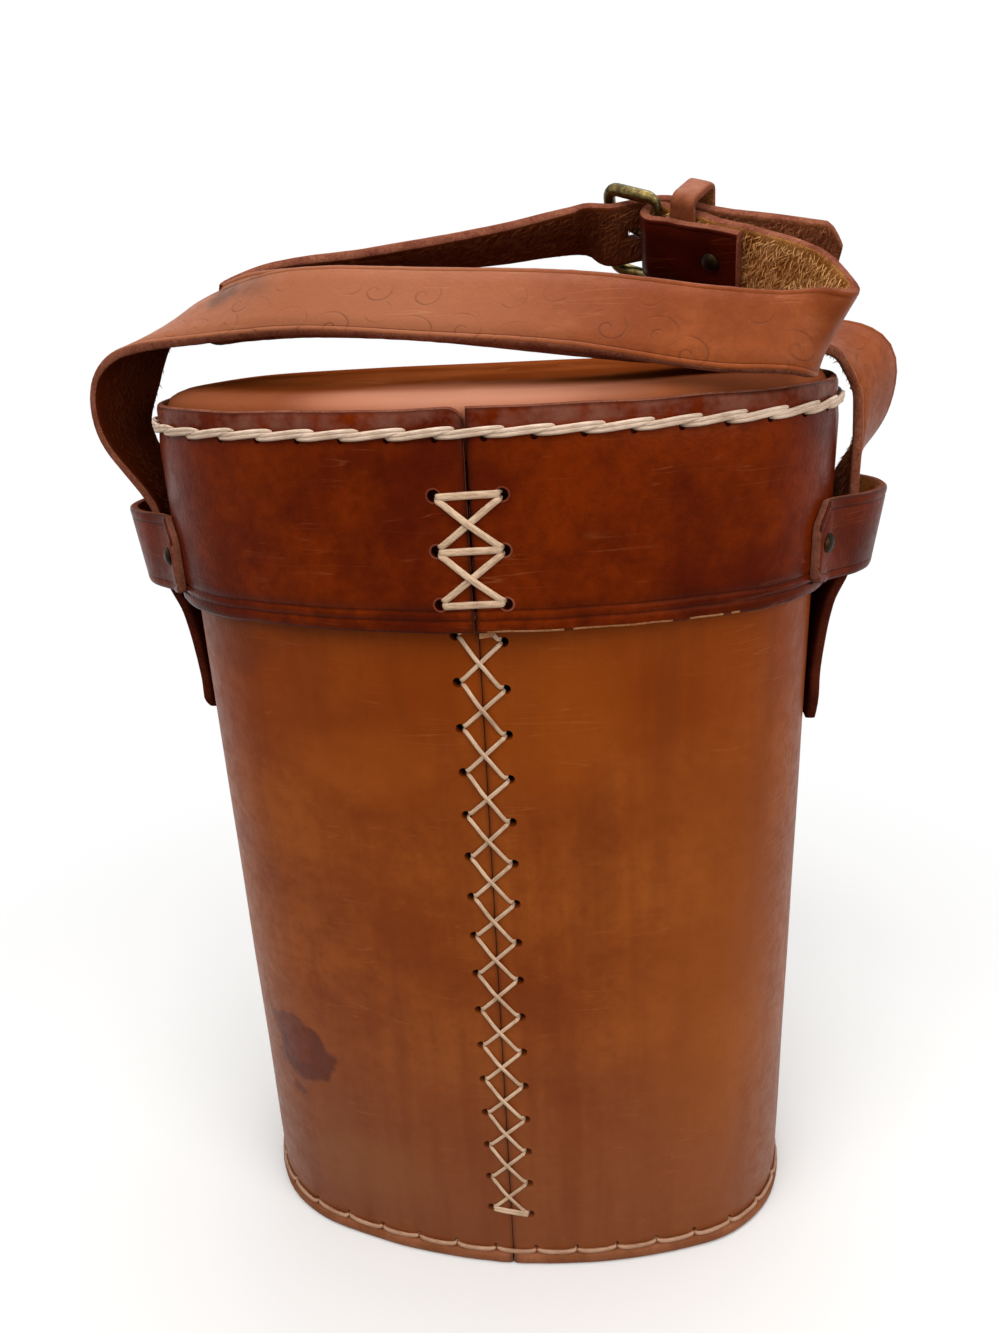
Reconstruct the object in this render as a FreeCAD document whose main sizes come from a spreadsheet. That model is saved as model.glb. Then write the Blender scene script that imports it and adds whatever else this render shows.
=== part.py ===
import FreeCAD, Part
import math
import os
import Sketcher
from FreeCAD import Placement, Rotation, Vector

# Leather carrier for two bottles: an oval case laced up the front, a cap lid and a folded strap.
# Millimetres. The origin is the middle of the base on the ground, +Z is up, the seams face -Y.

sizes = {
    # case: an oval of two end arcs and two long side arcs
    "case_half_width": 103.0,
    "case_half_depth": 57.5,
    "case_end_radius": 47.5,
    "case_height": 298.5,
    "wall_thickness": 3.4,
    "seam_half_gap": 0.4,
    # foot of the case
    "welt_height": 5.0,
    "welt_reach": 1.6,
    "welt_width": 9.0,
    "welt_round": 1.8,
    "joint_gap": 0.2,
    "pad_thickness": 3.0,
    "pad_clearance": 0.5,
    "base_stitch_radius": 0.9,
    "base_stitch_pitch": 15.0,
    # partition between the bottles, with a foot that lies on the pad
    "divider_thickness": 3.0,
    "divider_height": 190.0,
    "divider_foot": 24.0,
    "divider_front_gap": 6.0,
    "divider_rear_gap": 3.0,
    # lace over the seam of the case
    "lace_radius": 0.55,
    "lace_gap": 0.15,
    "lace_bend": 1.0,
    "lace_rows": 19,
    "lace_pitch": 14.8,
    "lace_first_row": 26.8,
    "lace_half_gap": 7.0,
    "lace_stagger": 2.3,
    "lace_hole_radius": 1.5,
    # lid: a band round the case and a moulded top sewn inside it
    "lid_side_clearance": 1.2,
    "lid_front_clearance": 3.2,
    "lid_wall": 3.4,
    "lid_overlap": 47.2,
    "lid_seat_gap": 0.3,
    "lid_skirt_height": 14.8,
    "lid_skirt_thickness": 4.4,
    "lid_top_thickness": 3.6,
    "lid_crown": 4.2,
    "lid_shoulder": 8.0,
    "lid_stitch_drop": 6.6,
    "lid_stitch_radius": 0.95,
    "lid_stitch_pitch": 13.4,
    "lid_stitch_slant": 1.3,
    # lace over the seam of the lid
    "lid_lace_radius": 0.75,
    "lid_lace_rows": 3,
    "lid_lace_pitch": 15.3,
    "lid_lace_first_row": 8.6,
    "lid_lace_half_gap": 9.3,
    "lid_lace_hole_radius": 2.4,
    # loops at the sides of the lid, each held by two rivets
    "loop_height": 25.0,
    "loop_rise": 3.0,
    "loop_thickness": 2.8,
    "loop_bow_radius": 24.0,
    "loop_flange": 11.0,
    "loop_gap": 0.2,
    "loop_slack": 0.8,
    "rivet_head_radius": 3.6,
    "rivet_head_height": 1.6,
    "rivet_post_radius": 1.6,
    "rivet_hole_gap": 0.1,
    # strap: its tails are riveted to the case, its folds lie on the lid
    "strap_width": 26.0,
    "strap_thickness": 3.2,
    "strap_gap": 0.4,
    "strap_standoff": 3.1,
    "strap_step": 4.5,
    "tail_drop": 46.0,
    "tail_seat": 15.0,
    "tail_rivet_rise": 8.0,
    "tail_point": 5.0,
    "billet_point": 6.0,
    # buckle
    "bar_radius": 2.0,
    "frame_length": 18.0,
    "frame_side_gap": 1.2,
    "frame_round": 1.6,
    "prong_radius": 1.3,
    "prong_eye_gap": 0.6,
    "prong_eye_wall": 1.3,
    "prong_eye_height": 3.4,
    "prong_overhang": 2.2,
    "prong_rest_gap": 0.45,
    "prong_slot_gap": 0.5,
    "fold_length": 29.0,
    "fold_rivet_place": 20.5,
    "keeper_width": 8.0,
    "keeper_thickness": 2.0,
    "keeper_place": 4.6,
    # every cut runs past its piece by this much
    "overrun": 5.0,
}

# Strap routes over the lid: centre as shares of the lid's half width and half depth and, above the
# lid's top, of the strap's width, then the direction of the width, then the share of the full width.
buckle_route_shares = [
    ((-1.16, -0.02, -0.58), (-0.05, 1.00, 0.05), 1.0),
    ((-1.15, -0.05, 0.08), (0.10, 1.00, 0.25), 1.0),
    ((-1.00, -0.13, 0.56), (0.15, 0.95, 0.40), 1.0),
    ((-0.74, -0.30, 0.84), (0.10, 0.80, 0.60), 1.0),
    ((-0.46, -0.53, 0.90), (0.00, 0.64, 0.77), 1.0),
    ((-0.11, -0.64, 0.80), (0.00, 0.62, 0.78), 1.0),
    ((0.27, -0.71, 0.64), (0.03, 0.58, 0.81), 1.0),
    ((0.61, -0.76, 0.44), (0.08, 0.45, 0.88), 1.0),
    ((0.80, -0.74, 0.40), (0.05, 0.50, 0.84), 1.0),
    ((0.89, -0.67, 0.40), (0.36, 0.00, 0.84), 1.0),
    ((0.92, -0.53, 0.51), (0.30, -0.40, 0.83), 1.0),
    ((0.865, -0.33, 0.82), (0.24, -0.55, 0.79), 0.94),
]
billet_route_shares = [
    ((1.10, 0.00, -0.66), (0.65, 1.00, 0.20), 1.0),
    ((1.09, 0.00, -0.13), (0.70, 1.00, 0.60), 1.0),
    ((0.96, -0.04, 0.18), (0.25, 1.00, 0.28), 1.0),
    ((0.78, -0.20, 0.18), (0.30, 1.00, 0.08), 1.0),
    ((0.53, -0.43, 0.29), (0.15, 0.95, 0.25), 1.0),
    ((0.27, -0.57, 0.46), (0.03, 0.70, 0.71), 1.0),
    ((-0.11, -0.54, 0.74), (0.00, 0.62, 0.78), 1.0),
    ((-0.43, -0.39, 0.86), (0.00, 0.58, 0.81), 1.0),
    ((-0.63, -0.20, 0.88), (0.20, 0.30, 0.90), 1.0),
    ((-0.71, 0.02, 0.84), (0.60, 0.00, 0.80), 1.0),
    ((-0.61, 0.21, 0.98), (0.50, -0.55, 0.70), 1.0),
    ((-0.38, 0.30, 1.22), (0.20, -0.85, 0.50), 0.94),
    ((0.00, 0.31, 1.40), (0.00, -0.90, 0.43), 0.86),
]
billet_tip_shares = [
    ((0.78, -0.02, 1.23), (-0.05, -0.52, 0.84), 0.76),
    ((0.92, -0.06, 1.11), (0.00, -0.48, 0.86), 0.76),
]
buckle_place_share = (0.497, 0.132, 1.36)
buckle_heading = Vector(-0.78, 0.52, 0.26)
buckle_lean = Vector(0.22, -0.70, 0.72)
neck_width_share = 0.76
fold_width_shares = (0.79, 0.80, 0.82)
stitch_fill_share = 0.8
rivet_place_share = 0.55
billet_lead_shares = (1.45, 1.2)
billet_lead_across = (0.0, -0.78, 0.62)
billet_spread_share = 1.1
tail_point_share = 0.6
billet_point_share = 0.4

doc = FreeCAD.newDocument("bottle_carrier")
sheet = doc.addObject("Spreadsheet::Sheet", "sizes")
for row, (alias, number) in enumerate(sizes.items(), start=1):
    sheet.set("A%d" % row, alias)
    sheet.set("B%d" % row, str(number))
    sheet.setAlias("B%d" % row, alias)
doc.recompute()


def mm(alias):
    return float(sheet.get(alias))


# A size that is worked out is a list of sheet names, each one added, or taken off after a minus.
def total(terms):
    return sum(-mm(term[1:]) if term[0] == "-" else mm(term) for term in terms)


def formula(terms):
    return " ".join("- sizes." + t[1:] if t[0] == "-" else "+ sizes." + t for t in terms).lstrip("+ ")


case_oval = (["case_half_width"], ["case_half_depth"], ["case_end_radius"])
lid_oval = (["case_half_width", "lid_side_clearance"], ["case_half_depth", "lid_front_clearance"],
            ["case_end_radius", "lid_side_clearance"])
lid_bottom = ["case_height", "-lid_overlap"]
lid_seat = ["case_height", "lid_seat_gap"]
band_top = lid_seat + ["lid_skirt_height"]
lid_crest = band_top + ["lid_crown"]


def grown(oval, terms):
    return tuple(part + terms for part in oval)


def oval_numbers(oval):
    half_width, half_depth, end_radius = (total(part) for part in oval)
    reach = half_width - end_radius
    side_radius = (reach ** 2 + half_depth ** 2 - end_radius ** 2) / (2 * (half_depth - end_radius))
    return half_depth, end_radius, reach, side_radius


def oval_arcs(oval):
    half_depth, end_radius, reach, side_radius = oval_numbers(oval)
    turn = math.atan2(side_radius - half_depth, reach)
    up = Vector(0, 0, 1)
    arcs = [(Vector(reach, 0, 0), end_radius, -turn, turn),
            (Vector(0, half_depth - side_radius, 0), side_radius, turn, math.pi - turn),
            (Vector(-reach, 0, 0), end_radius, math.pi - turn, math.pi + turn),
            (Vector(0, side_radius - half_depth, 0), side_radius, math.pi + turn, 2 * math.pi - turn)]
    return [Part.ArcOfCircle(Part.Circle(centre, up, radius), first, last)
            for centre, radius, first, last in arcs]


def new_body(label):
    body = doc.addObject("PartDesign::Body", label)
    body.Label = label
    return body


def origin_feature(body, role):
    return next(feature for feature in body.Origin.OriginFeatures if feature.Role == role)


def new_sketch(body, name, role, rise=None):
    sketch = body.newObject("Sketcher::SketchObject", name)
    sketch.AttachmentSupport = [(origin_feature(body, role), "")]
    sketch.MapMode = "FlatFace"
    if rise:
        sketch.setExpression("AttachmentOffset.Base.z", formula(rise))
    return sketch


def bind(sketch, kind, ends, number, expression, name):
    index = sketch.addConstraint(Sketcher.Constraint(kind, *ends, number))
    sketch.renameConstraint(index, name)
    sketch.setExpression("Constraints." + name, expression)


# Tangent end and side arcs, set by the end radius, the side radius and the place of the end arcs.
def draw_oval(sketch, oval, tag):
    half_depth, end_radius, reach, side_radius = oval_numbers(oval)
    first = sketch.GeometryCount
    for arc in oval_arcs(oval):
        sketch.addGeometry(arc, False)
    right, rear, left, front = range(first, first + 4)
    for here, after in ((right, rear), (rear, left), (left, front), (front, right)):
        sketch.addConstraint(Sketcher.Constraint("Tangent", here, 2, after, 1))
    sketch.addConstraint(Sketcher.Constraint("Symmetric", right, 3, left, 3, -1, 1))
    sketch.addConstraint(Sketcher.Constraint("PointOnObject", right, 3, -1))
    sketch.addConstraint(Sketcher.Constraint("Equal", right, left))
    sketch.addConstraint(Sketcher.Constraint("Equal", rear, front))
    width, depth, end = (formula(part) for part in oval)
    span = "((%s) - (%s))" % (width, end)
    side = "(%s ^ 2 + (%s) ^ 2 - (%s) ^ 2) / (2 * ((%s) - (%s)))" % (span, depth, end, depth, end)
    bind(sketch, "Radius", (right,), end_radius, end, tag + "_end")
    bind(sketch, "Radius", (rear,), side_radius, side, tag + "_side")
    bind(sketch, "DistanceX", (-1, 1, right, 3), reach, span, tag + "_span")


# Ties a point to the origin by two lists of sheet names; an empty list puts it on the axis.
def place_point(sketch, geometry, point, across, height, tag):
    for kind, terms, axis in (("DistanceX", across, -2), ("DistanceY", height, -1)):
        if terms:
            ends = (-1, 1, geometry, point)
            bind(sketch, kind, ends, total(terms), formula(terms), tag + kind[-1])
        else:
            sketch.addConstraint(Sketcher.Constraint("PointOnObject", geometry, point, axis))


def draw_circle(sketch, across, height, radius, tag):
    centre = Vector(total(across), total(height), 0)
    index = sketch.addGeometry(Part.Circle(centre, Vector(0, 0, 1), total(radius)), False)
    bind(sketch, "Radius", (index,), total(radius), formula(radius), tag + "Radius")
    place_point(sketch, index, 3, across, height, tag)


def draw_rectangle(sketch, left, right, low, high):
    corners = [Vector(total(x), total(y), 0) for x, y in
               ((left, low), (right, low), (right, high), (left, high))]
    first = sketch.GeometryCount
    for index in range(4):
        sketch.addGeometry(Part.LineSegment(corners[index], corners[(index + 1) % 4]), False)
    for index in range(4):
        ends = (first + index, 2, first + (index + 1) % 4, 1)
        sketch.addConstraint(Sketcher.Constraint("Coincident", *ends))
        sketch.addConstraint(Sketcher.Constraint("Vertical" if index % 2 else "Horizontal", first + index))
    place_point(sketch, first, 1, left, low, "near")
    place_point(sketch, first + 2, 1, right, high, "far")


def pad(body, sketch, height, name):
    feature = body.newObject("PartDesign::Pad", name)
    feature.Profile = sketch
    feature.setExpression("Length", formula(height))
    return feature


# Cuts from the middle plane out through one side only, and makes sure that it did cut.
def pocket_out(body, sketch, name):
    doc.recompute()
    before = body.Shape.Volume
    feature = body.newObject("PartDesign::Pocket", name)
    feature.Profile = sketch
    feature.Type = "ThroughAll"
    feature.Reversed = True
    doc.recompute()
    if body.Shape.Volume >= before:
        raise RuntimeError(name + " cuts nothing")
    return feature


def oval_ring(label, outer, inner, rise, height):
    body = new_body(label)
    sketch = new_sketch(body, label + "_plan", "XY_Plane", rise)
    draw_oval(sketch, outer, "outer")
    if inner:
        draw_oval(sketch, inner, "inner")
    pad(body, sketch, height, label + "_pad")
    return body


def cut_seam(body, low, high):
    sketch = new_sketch(body, body.Label + "_seam", "XZ_Plane")
    draw_rectangle(sketch, ["-seam_half_gap"], ["seam_half_gap"], low, high)
    pocket_out(body, sketch, body.Label + "_seam_cut")


# A column of lace holes at each side of the seam, the right one set lower by the stagger.
def cut_lace_holes(body, half_gap, first_row, radius, rows, pitch, stagger):
    sketch = new_sketch(body, body.Label + "_holes", "XZ_Plane")
    draw_circle(sketch, ["-" + half_gap], first_row, [radius], "left")
    draw_circle(sketch, [half_gap], first_row + ["-" + name for name in stagger], [radius], "right")
    cut = pocket_out(body, sketch, body.Label + "_hole_cut")
    pattern = body.newObject("PartDesign::LinearPattern", body.Label + "_hole_rows")
    pattern.Originals = [cut]
    pattern.Direction = (origin_feature(body, "Z_Axis"), [""])
    pattern.setExpression("Length", "sizes.%s * (sizes.%s - 1)" % (pitch, rows))
    pattern.setExpression("Occurrences", "sizes." + rows)
    body.Tip = pattern


def edges_at(shape, height):
    return ["Edge%d" % number for number, edge in enumerate(shape.Edges, start=1)
            if abs(edge.BoundBox.ZMin - height) < 1e-6 and abs(edge.BoundBox.ZMax - height) < 1e-6]


def fillet_edges(body, feature, edges, radius, name):
    rounded = body.newObject("PartDesign::Fillet", name)
    rounded.Base = (feature, edges)
    rounded.setExpression("Radius", "sizes." + radius)


def new_shape(label, shape):
    feature = doc.addObject("Part::Feature", label)
    feature.Label = label
    feature.Shape = shape
    return feature


# A round tube along straight runs joined by tangent arcs.
def tube(points, radius, bend):
    edges, start = [], points[0]
    for before, corner, after in zip(points, points[1:], points[2:]):
        inward = (before - corner).normalize()
        onward = (after - corner).normalize()
        turn = math.pi - inward.getAngle(onward)
        reach = bend * math.tan(turn / 2)
        entry, leave = corner + inward * reach, corner + onward * reach
        middle = (inward + onward).normalize()
        peak = corner + middle * (bend / math.cos(turn / 2) - bend)
        edges += [Part.LineSegment(start, entry).toShape(), Part.Arc(entry, peak, leave).toShape()]
        start = leave
    edges.append(Part.LineSegment(start, points[-1]).toShape())
    return pipe(Part.Wire(edges), points[1] - points[0], radius)


def pipe(path, heading, radius):
    circle = Part.Circle(path.Vertexes[0].Point, heading, radius).toShape()
    return path.makePipeShell([Part.Wire([circle])], True, False)


def arc_tube(start, middle, end, radius):
    curve = Part.Arc(start, middle, end)
    path = Part.Wire([curve.toShape()])
    return pipe(path, curve.tangent(curve.FirstParameter)[0], radius)


# Case and its foot

wall_rise = ["case_height", "-welt_height"]
wall = oval_ring("case_wall", case_oval, grown(case_oval, ["-wall_thickness"]), ["welt_height"], wall_rise)
cut_seam(wall, ["-overrun"], ["case_height", "overrun"])
rivet_hole = ["rivet_post_radius", "rivet_hole_gap"]
tail_rivet_height = lid_bottom + ["-tail_drop", "tail_rivet_rise"]
rivet_holes = new_sketch(wall, "case_wall_rivet_holes", "YZ_Plane")
draw_circle(rivet_holes, [], tail_rivet_height, rivet_hole, "rivet")
rivet_cut = wall.newObject("PartDesign::Pocket", "case_wall_rivet_cut")
rivet_cut.Profile = rivet_holes
rivet_cut.Type = "ThroughAll"
rivet_cut.Midplane = True
cut_lace_holes(wall, "lace_half_gap", ["lace_first_row"], "lace_hole_radius", "lace_rows", "lace_pitch",
               ["lace_stagger"])

welt_outer = grown(case_oval, ["welt_reach"])
welt_inner = grown(welt_outer, ["-welt_width"])
welt = oval_ring("base_welt", welt_outer, welt_inner, None, ["welt_height"])
doc.recompute()


def stands_out(name):
    reach = welt.Shape.getElement(name).BoundBox
    return reach.YMax > mm("case_half_depth") or reach.YMin < -mm("case_half_depth") \
        or reach.XMax > mm("case_half_width") or reach.XMin < -mm("case_half_width")


outer_edges = [name for name in edges_at(welt.Shape, 0) if stands_out(name)]
fillet_edges(welt, welt.Tip, outer_edges, "welt_round", "base_welt_round")
cut_seam(welt, ["-overrun"], ["welt_height", "overrun"])

oval_ring("base_panel", grown(welt_inner, ["-joint_gap"]), None, None, ["welt_height"])
inner_oval = grown(case_oval, ["-wall_thickness"])
oval_ring("base_pad", grown(inner_oval, ["-pad_clearance"]), None, ["welt_height"], ["pad_thickness"])

divider = new_body("divider")
divider_plan = new_sketch(divider, "divider_plan", "XY_Plane", ["welt_height", "pad_thickness"])
front_edge = ["-case_half_depth", "wall_thickness", "divider_front_gap"]
rear_edge = ["case_half_depth", "-wall_thickness", "-divider_rear_gap"]
draw_rectangle(divider_plan, [], ["divider_foot"], front_edge, rear_edge)
pad(divider, divider_plan, ["divider_thickness"], "divider_foot_pad")
upright_plan = new_sketch(divider, "divider_upright_plan", "XY_Plane", ["welt_height", "pad_thickness"])
draw_rectangle(upright_plan, [], ["divider_thickness"], front_edge, rear_edge)
pad(divider, upright_plan, ["divider_height"], "divider_upright")

# Lid

lid_outer = grown(lid_oval, ["lid_wall"])
band = oval_ring("band_blank", lid_outer, lid_oval, lid_bottom, band_top + ["-case_height", "lid_overlap"])
cut_seam(band, lid_bottom + ["-overrun"], band_top + ["overrun"])
cut_lace_holes(band, "lid_lace_half_gap", lid_bottom + ["lid_lace_first_row"], "lid_lace_hole_radius",
               "lid_lace_rows", "lid_lace_pitch", [])

top_outer = grown(lid_oval, ["-joint_gap"])
top = oval_ring("lid_top", top_outer, None, lid_seat, ["lid_skirt_height", "lid_crown"])
doc.recompute()
fillet_edges(top, top.Tip, edges_at(top.Shape, total(lid_crest)), "lid_shoulder", "lid_top_shoulder")
hollow = new_sketch(top, "lid_top_hollow", "XY_Plane", lid_seat)
draw_oval(hollow, grown(top_outer, ["-lid_skirt_thickness"]), "hollow")
hollow_cut = top.newObject("PartDesign::Pocket", "lid_top_hollow_cut")
hollow_cut.Profile = hollow
hollow_cut.Reversed = True
hollow_cut.setExpression("Length", formula(["lid_skirt_height", "lid_crown", "-lid_top_thickness"]))
doc.recompute()

# Lacing and stitching

face_y = -mm("case_half_depth")


def lace_case_seam():
    radius, gap, half_gap = mm("lace_radius"), mm("lace_gap"), mm("lace_half_gap")
    rows, pitch = int(mm("lace_rows")), mm("lace_pitch")
    outside = face_y - radius - gap
    inside = face_y + mm("wall_thickness") + radius + 2 * gap
    layer = 2 * radius + gap
    offset = radius + gap / 2
    holes = {}
    for row in range(rows):
        height = mm("lace_first_row") + row * pitch
        holes[row, -1] = height
        holes[row, 1] = height - mm("lace_stagger")

    # One end goes from side to side up the seam; the later end crosses over the earlier one.
    def strand(first_side, over):
        points = [Vector(first_side * half_gap, inside + over * layer, holes[0, first_side] + offset)]
        for row in range(rows - 1):
            low = Vector(first_side * half_gap, 0, holes[row, first_side] + offset)
            high = Vector(-first_side * half_gap, 0, holes[row + 1, -first_side] - offset)
            points.append(Vector(low.x, outside, low.z))
            if over:
                points.append(Vector(0, outside - layer, (low.z + high.z) / 2))
            points.append(Vector(high.x, outside, high.z))
            points.append(Vector(high.x, inside + over * layer, high.z))
            if row < rows - 2:
                points.append(Vector(low.x, inside + over * layer, holes[row + 1, first_side] + offset))
        return tube(points, radius, mm("lace_bend"))

    tie = [Vector(side * half_gap, depth, holes[0, side] - offset)
           for side, depth in ((-1, inside), (-1, outside), (1, outside), (1, inside))]
    return Part.makeCompound([strand(-1, 0), strand(1, 1), tube(tie, radius, mm("lace_bend"))])


new_shape("case_seam_lace", lace_case_seam())


# Bars at each row and a cross between the rows; every end stops inside the band.
def lace_lid_seam():
    radius, gap, half_gap = mm("lid_lace_radius"), mm("lace_gap"), mm("lid_lace_half_gap")
    outside = -total(lid_outer[1]) - radius - gap
    inside = -total(lid_oval[1]) - gap
    layer, offset = 2 * radius + gap, 2 * radius + gap / 2
    heights = [total(lid_bottom) + mm("lid_lace_first_row") + row * mm("lid_lace_pitch")
               for row in range(int(mm("lid_lace_rows")))]

    def staple(low, high, crest):
        middle = [Vector(0, outside - crest, (low.z + high.z) / 2)] if crest else []
        feet = [Vector(point.x, inside, point.z) for point in (low, high)]
        return tube([feet[0], low] + middle + [high, feet[1]], radius, mm("lace_bend"))

    strands = [staple(Vector(-half_gap, outside, height), Vector(half_gap, outside, height), 0)
               for height in heights]
    for low, high in zip(heights, heights[1:]):
        for side, crest in ((-1, 0), (1, layer)):
            strands.append(staple(Vector(side * half_gap, outside, low + offset),
                                  Vector(-side * half_gap, outside, high - offset), crest))
    return Part.makeCompound(strands)


new_shape("lid_seam_lace", lace_lid_seam())


# Stitches lie end to end round an oval, each a share of the pitch long, slanted by the rise.
def stitch_row(oval, height, pitch, radius, fill, rise):
    outline = Part.Wire([arc.toShape() for arc in oval_arcs(oval)])
    count = round(outline.Length / pitch)
    steps = 10
    ring = outline.discretize(count * steps + 1)[:-1]
    stitches = []
    for number in range(count):
        start = number * steps
        places = (start, start + round(fill * steps / 2), start + round(fill * steps))
        points = [ring[place % len(ring)] for place in places]
        lifted = [Vector(point.x, point.y, height + slant) for point, slant in zip(points, (-rise, 0, rise))]
        stitches.append(arc_tube(*lifted, radius))
    return Part.makeCompound(stitches)


new_shape("base_stitching", stitch_row(
    grown(case_oval, ["base_stitch_radius", "joint_gap"]),
    mm("welt_height") + mm("base_stitch_radius") + mm("joint_gap"),
    mm("base_stitch_pitch"), mm("base_stitch_radius"), stitch_fill_share, 0))
new_shape("lid_top_stitching", stitch_row(
    grown(lid_outer, ["lid_stitch_radius", "joint_gap"]), total(band_top) - mm("lid_stitch_drop"),
    mm("lid_stitch_pitch"), mm("lid_stitch_radius"), 2 - stitch_fill_share, mm("lid_stitch_slant")))

# Loops on the lid's ends, and the rivets through their flanges

lid_side = total(lid_outer[0])
lid_end_centre = oval_numbers(lid_outer)[2]
loop_seat = lid_outer[2] + ["loop_gap"]
loop_low = lid_bottom + ["loop_rise"]
half_strap = mm("strap_width") / 2
strap_side = lid_side + mm("strap_standoff") + mm("strap_thickness") / 2
bow_centre = (strap_side + mm("strap_thickness") / 2 + mm("loop_slack")
              - math.sqrt(mm("loop_bow_radius") ** 2 - half_strap ** 2))
seat_radius = total(loop_seat)
meeting = (seat_radius ** 2 - mm("loop_bow_radius") ** 2 + bow_centre ** 2 - lid_end_centre ** 2)
meeting_x = meeting / (2 * (bow_centre - lid_end_centre))
flange_start = math.acos((meeting_x - lid_end_centre) / seat_radius)
flange_turn = mm("loop_flange") / seat_radius
rivet_turn = flange_start + flange_turn * rivet_place_share
lid_end_place = Placement(Vector(lid_end_centre, 0, total(loop_low)), Rotation())


def cylinder(name, radius, height, place):
    feature = doc.addObject("Part::Cylinder", name)
    feature.setExpression("Radius", formula(radius))
    feature.setExpression("Height", formula(height))
    feature.Placement = place
    return feature


def combine(kind, name, base, tool):
    feature = doc.addObject("Part::" + kind, name)
    feature.Label = name
    feature.Base = base
    feature.Tool = tool
    return feature


def sector(name, turn):
    place = Placement(lid_end_place.Base, Rotation(Vector(0, 0, 1), math.degrees(turn)))
    outer = cylinder(name + "_outer", loop_seat + ["loop_thickness"], ["loop_height"], place)
    outer.Angle = math.degrees(flange_turn)
    inner = cylinder(name + "_inner", loop_seat, ["loop_height"], place)
    return combine("Cut", name, outer, inner)


def head(radius, height):
    ball = (radius ** 2 + height ** 2) / (2 * height)
    half_turn = math.asin(radius / ball) / 2
    rim, crest, root = Vector(radius, 0, 0), Vector(0, 0, height), Vector(0, 0, 0)
    middle = Vector(ball * math.sin(half_turn), 0, height - ball * (1 - math.cos(half_turn)))
    outline = Part.Wire([Part.Arc(rim, middle, crest).toShape(), Part.LineSegment(crest, root).toShape(),
                         Part.LineSegment(root, rim).toShape()])
    return Part.Face(outline).revolve(root, Vector(0, 0, 1), 360)


# A domed rivet with its head's seat at a place; a second head closes its far end when it shows.
def rivet(place, outward, length, closed):
    post = Part.makeCylinder(mm("rivet_post_radius"), length, Vector(0, 0, -length))
    shape = head(mm("rivet_head_radius"), mm("rivet_head_height")).fuse(post)
    if closed:
        far_head = head(mm("rivet_head_radius"), mm("rivet_head_height"))
        far_head.Placement = Placement(Vector(0, 0, -length), Rotation(Vector(1, 0, 0), 180))
        shape = shape.fuse(far_head)
    shape = shape.removeSplitter()
    shape.Placement = Placement(place, Rotation(Vector(0, 0, 1), outward))
    return shape


def rivet_bore(place, outward, length):
    reach = length + 2 * mm("overrun")
    start = place + outward * mm("overrun")
    return Part.makeCylinder(total(rivet_hole), reach, start, outward * -1)


loop_rivet_length = total(["loop_thickness", "loop_gap", "lid_wall", "-joint_gap"])
loop_rivet_seats = []
for side in (1, -1):
    for lean in (1, -1):
        outward = Vector(side * math.cos(rivet_turn), lean * math.sin(rivet_turn), 0)
        reach = seat_radius + mm("loop_thickness")
        place = Vector(side * lid_end_centre, 0, total(loop_low) + mm("loop_height") / 2) + outward * reach
        loop_rivet_seats.append((place, outward))
loop_bores = new_shape("loop_bores", Part.makeCompound(
    [rivet_bore(place, outward, loop_rivet_length) for place, outward in loop_rivet_seats]))
new_shape("loop_rivets", Part.makeCompound(
    [rivet(place, outward, loop_rivet_length, False) for place, outward in loop_rivet_seats]))
combine("Cut", "lid_band", band, loop_bores)

bow_place = Placement(Vector(bow_centre, 0, total(loop_low)), Rotation())
bow_outer = cylinder("bow_outer", ["loop_bow_radius", "loop_thickness"], ["loop_height"], bow_place)
bow_inner = cylinder("bow_inner", ["loop_bow_radius"], ["loop_height"], bow_place)
lid_end = cylinder("lid_end", loop_seat, ["loop_height"], lid_end_place)
bow = combine("Cut", "bow", combine("Cut", "bow_ring", bow_outer, bow_inner), lid_end)
loop_blank = doc.addObject("Part::MultiFuse", "loop_blank")
loop_blank.Shapes = [bow, sector("rear_flange", flange_start),
                     sector("front_flange", -flange_start - flange_turn)]
loop_blank.Refine = True
right_loop = combine("Cut", "right_strap_loop", loop_blank, loop_bores)
left_loop = doc.addObject("Part::Mirroring", "left_strap_loop")
left_loop.Label = "left_strap_loop"
left_loop.Source = right_loop
left_loop.Normal = Vector(1, 0, 0)

# Buckle: its own frame has X from the heel bar to the outer bar, Z along the bar, Y to the front

lid_front = total(lid_outer[1])
along = buckle_heading / buckle_heading.Length
bar_axis = buckle_lean - along * buckle_lean.dot(along)
bar_axis = bar_axis / bar_axis.Length


def on_lid(share):
    return Vector(share[0] * lid_side, share[1] * lid_front, total(lid_crest) + share[2] * mm("strap_width"))


buckle_place = Placement(on_lid(buckle_place_share), Rotation(along, bar_axis.cross(along), bar_axis, "ZXY"))
thickness, gap = mm("strap_thickness"), mm("strap_gap")
fold_side = (thickness + gap) / 2
keeper_side = mm("keeper_thickness") / 2 + gap + thickness / 2
bar_side = mm("bar_radius") + gap + thickness / 2
billet_side = fold_side + thickness + gap + mm("joint_gap") + mm("rivet_head_height") + gap
billet_bar_side = bar_side + thickness + 2 * gap
outer_bar_side = bar_side + gap
neck_half = half_strap * neck_width_share


def at_buckle(x, y, z=0):
    return buckle_place * Placement(Vector(x, y, z), Rotation())


def box(name, near, far):
    feature = doc.addObject("Part::Box", name)
    feature.Length, feature.Width, feature.Height = far - near
    feature.Placement = at_buckle(*near)
    return feature


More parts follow.
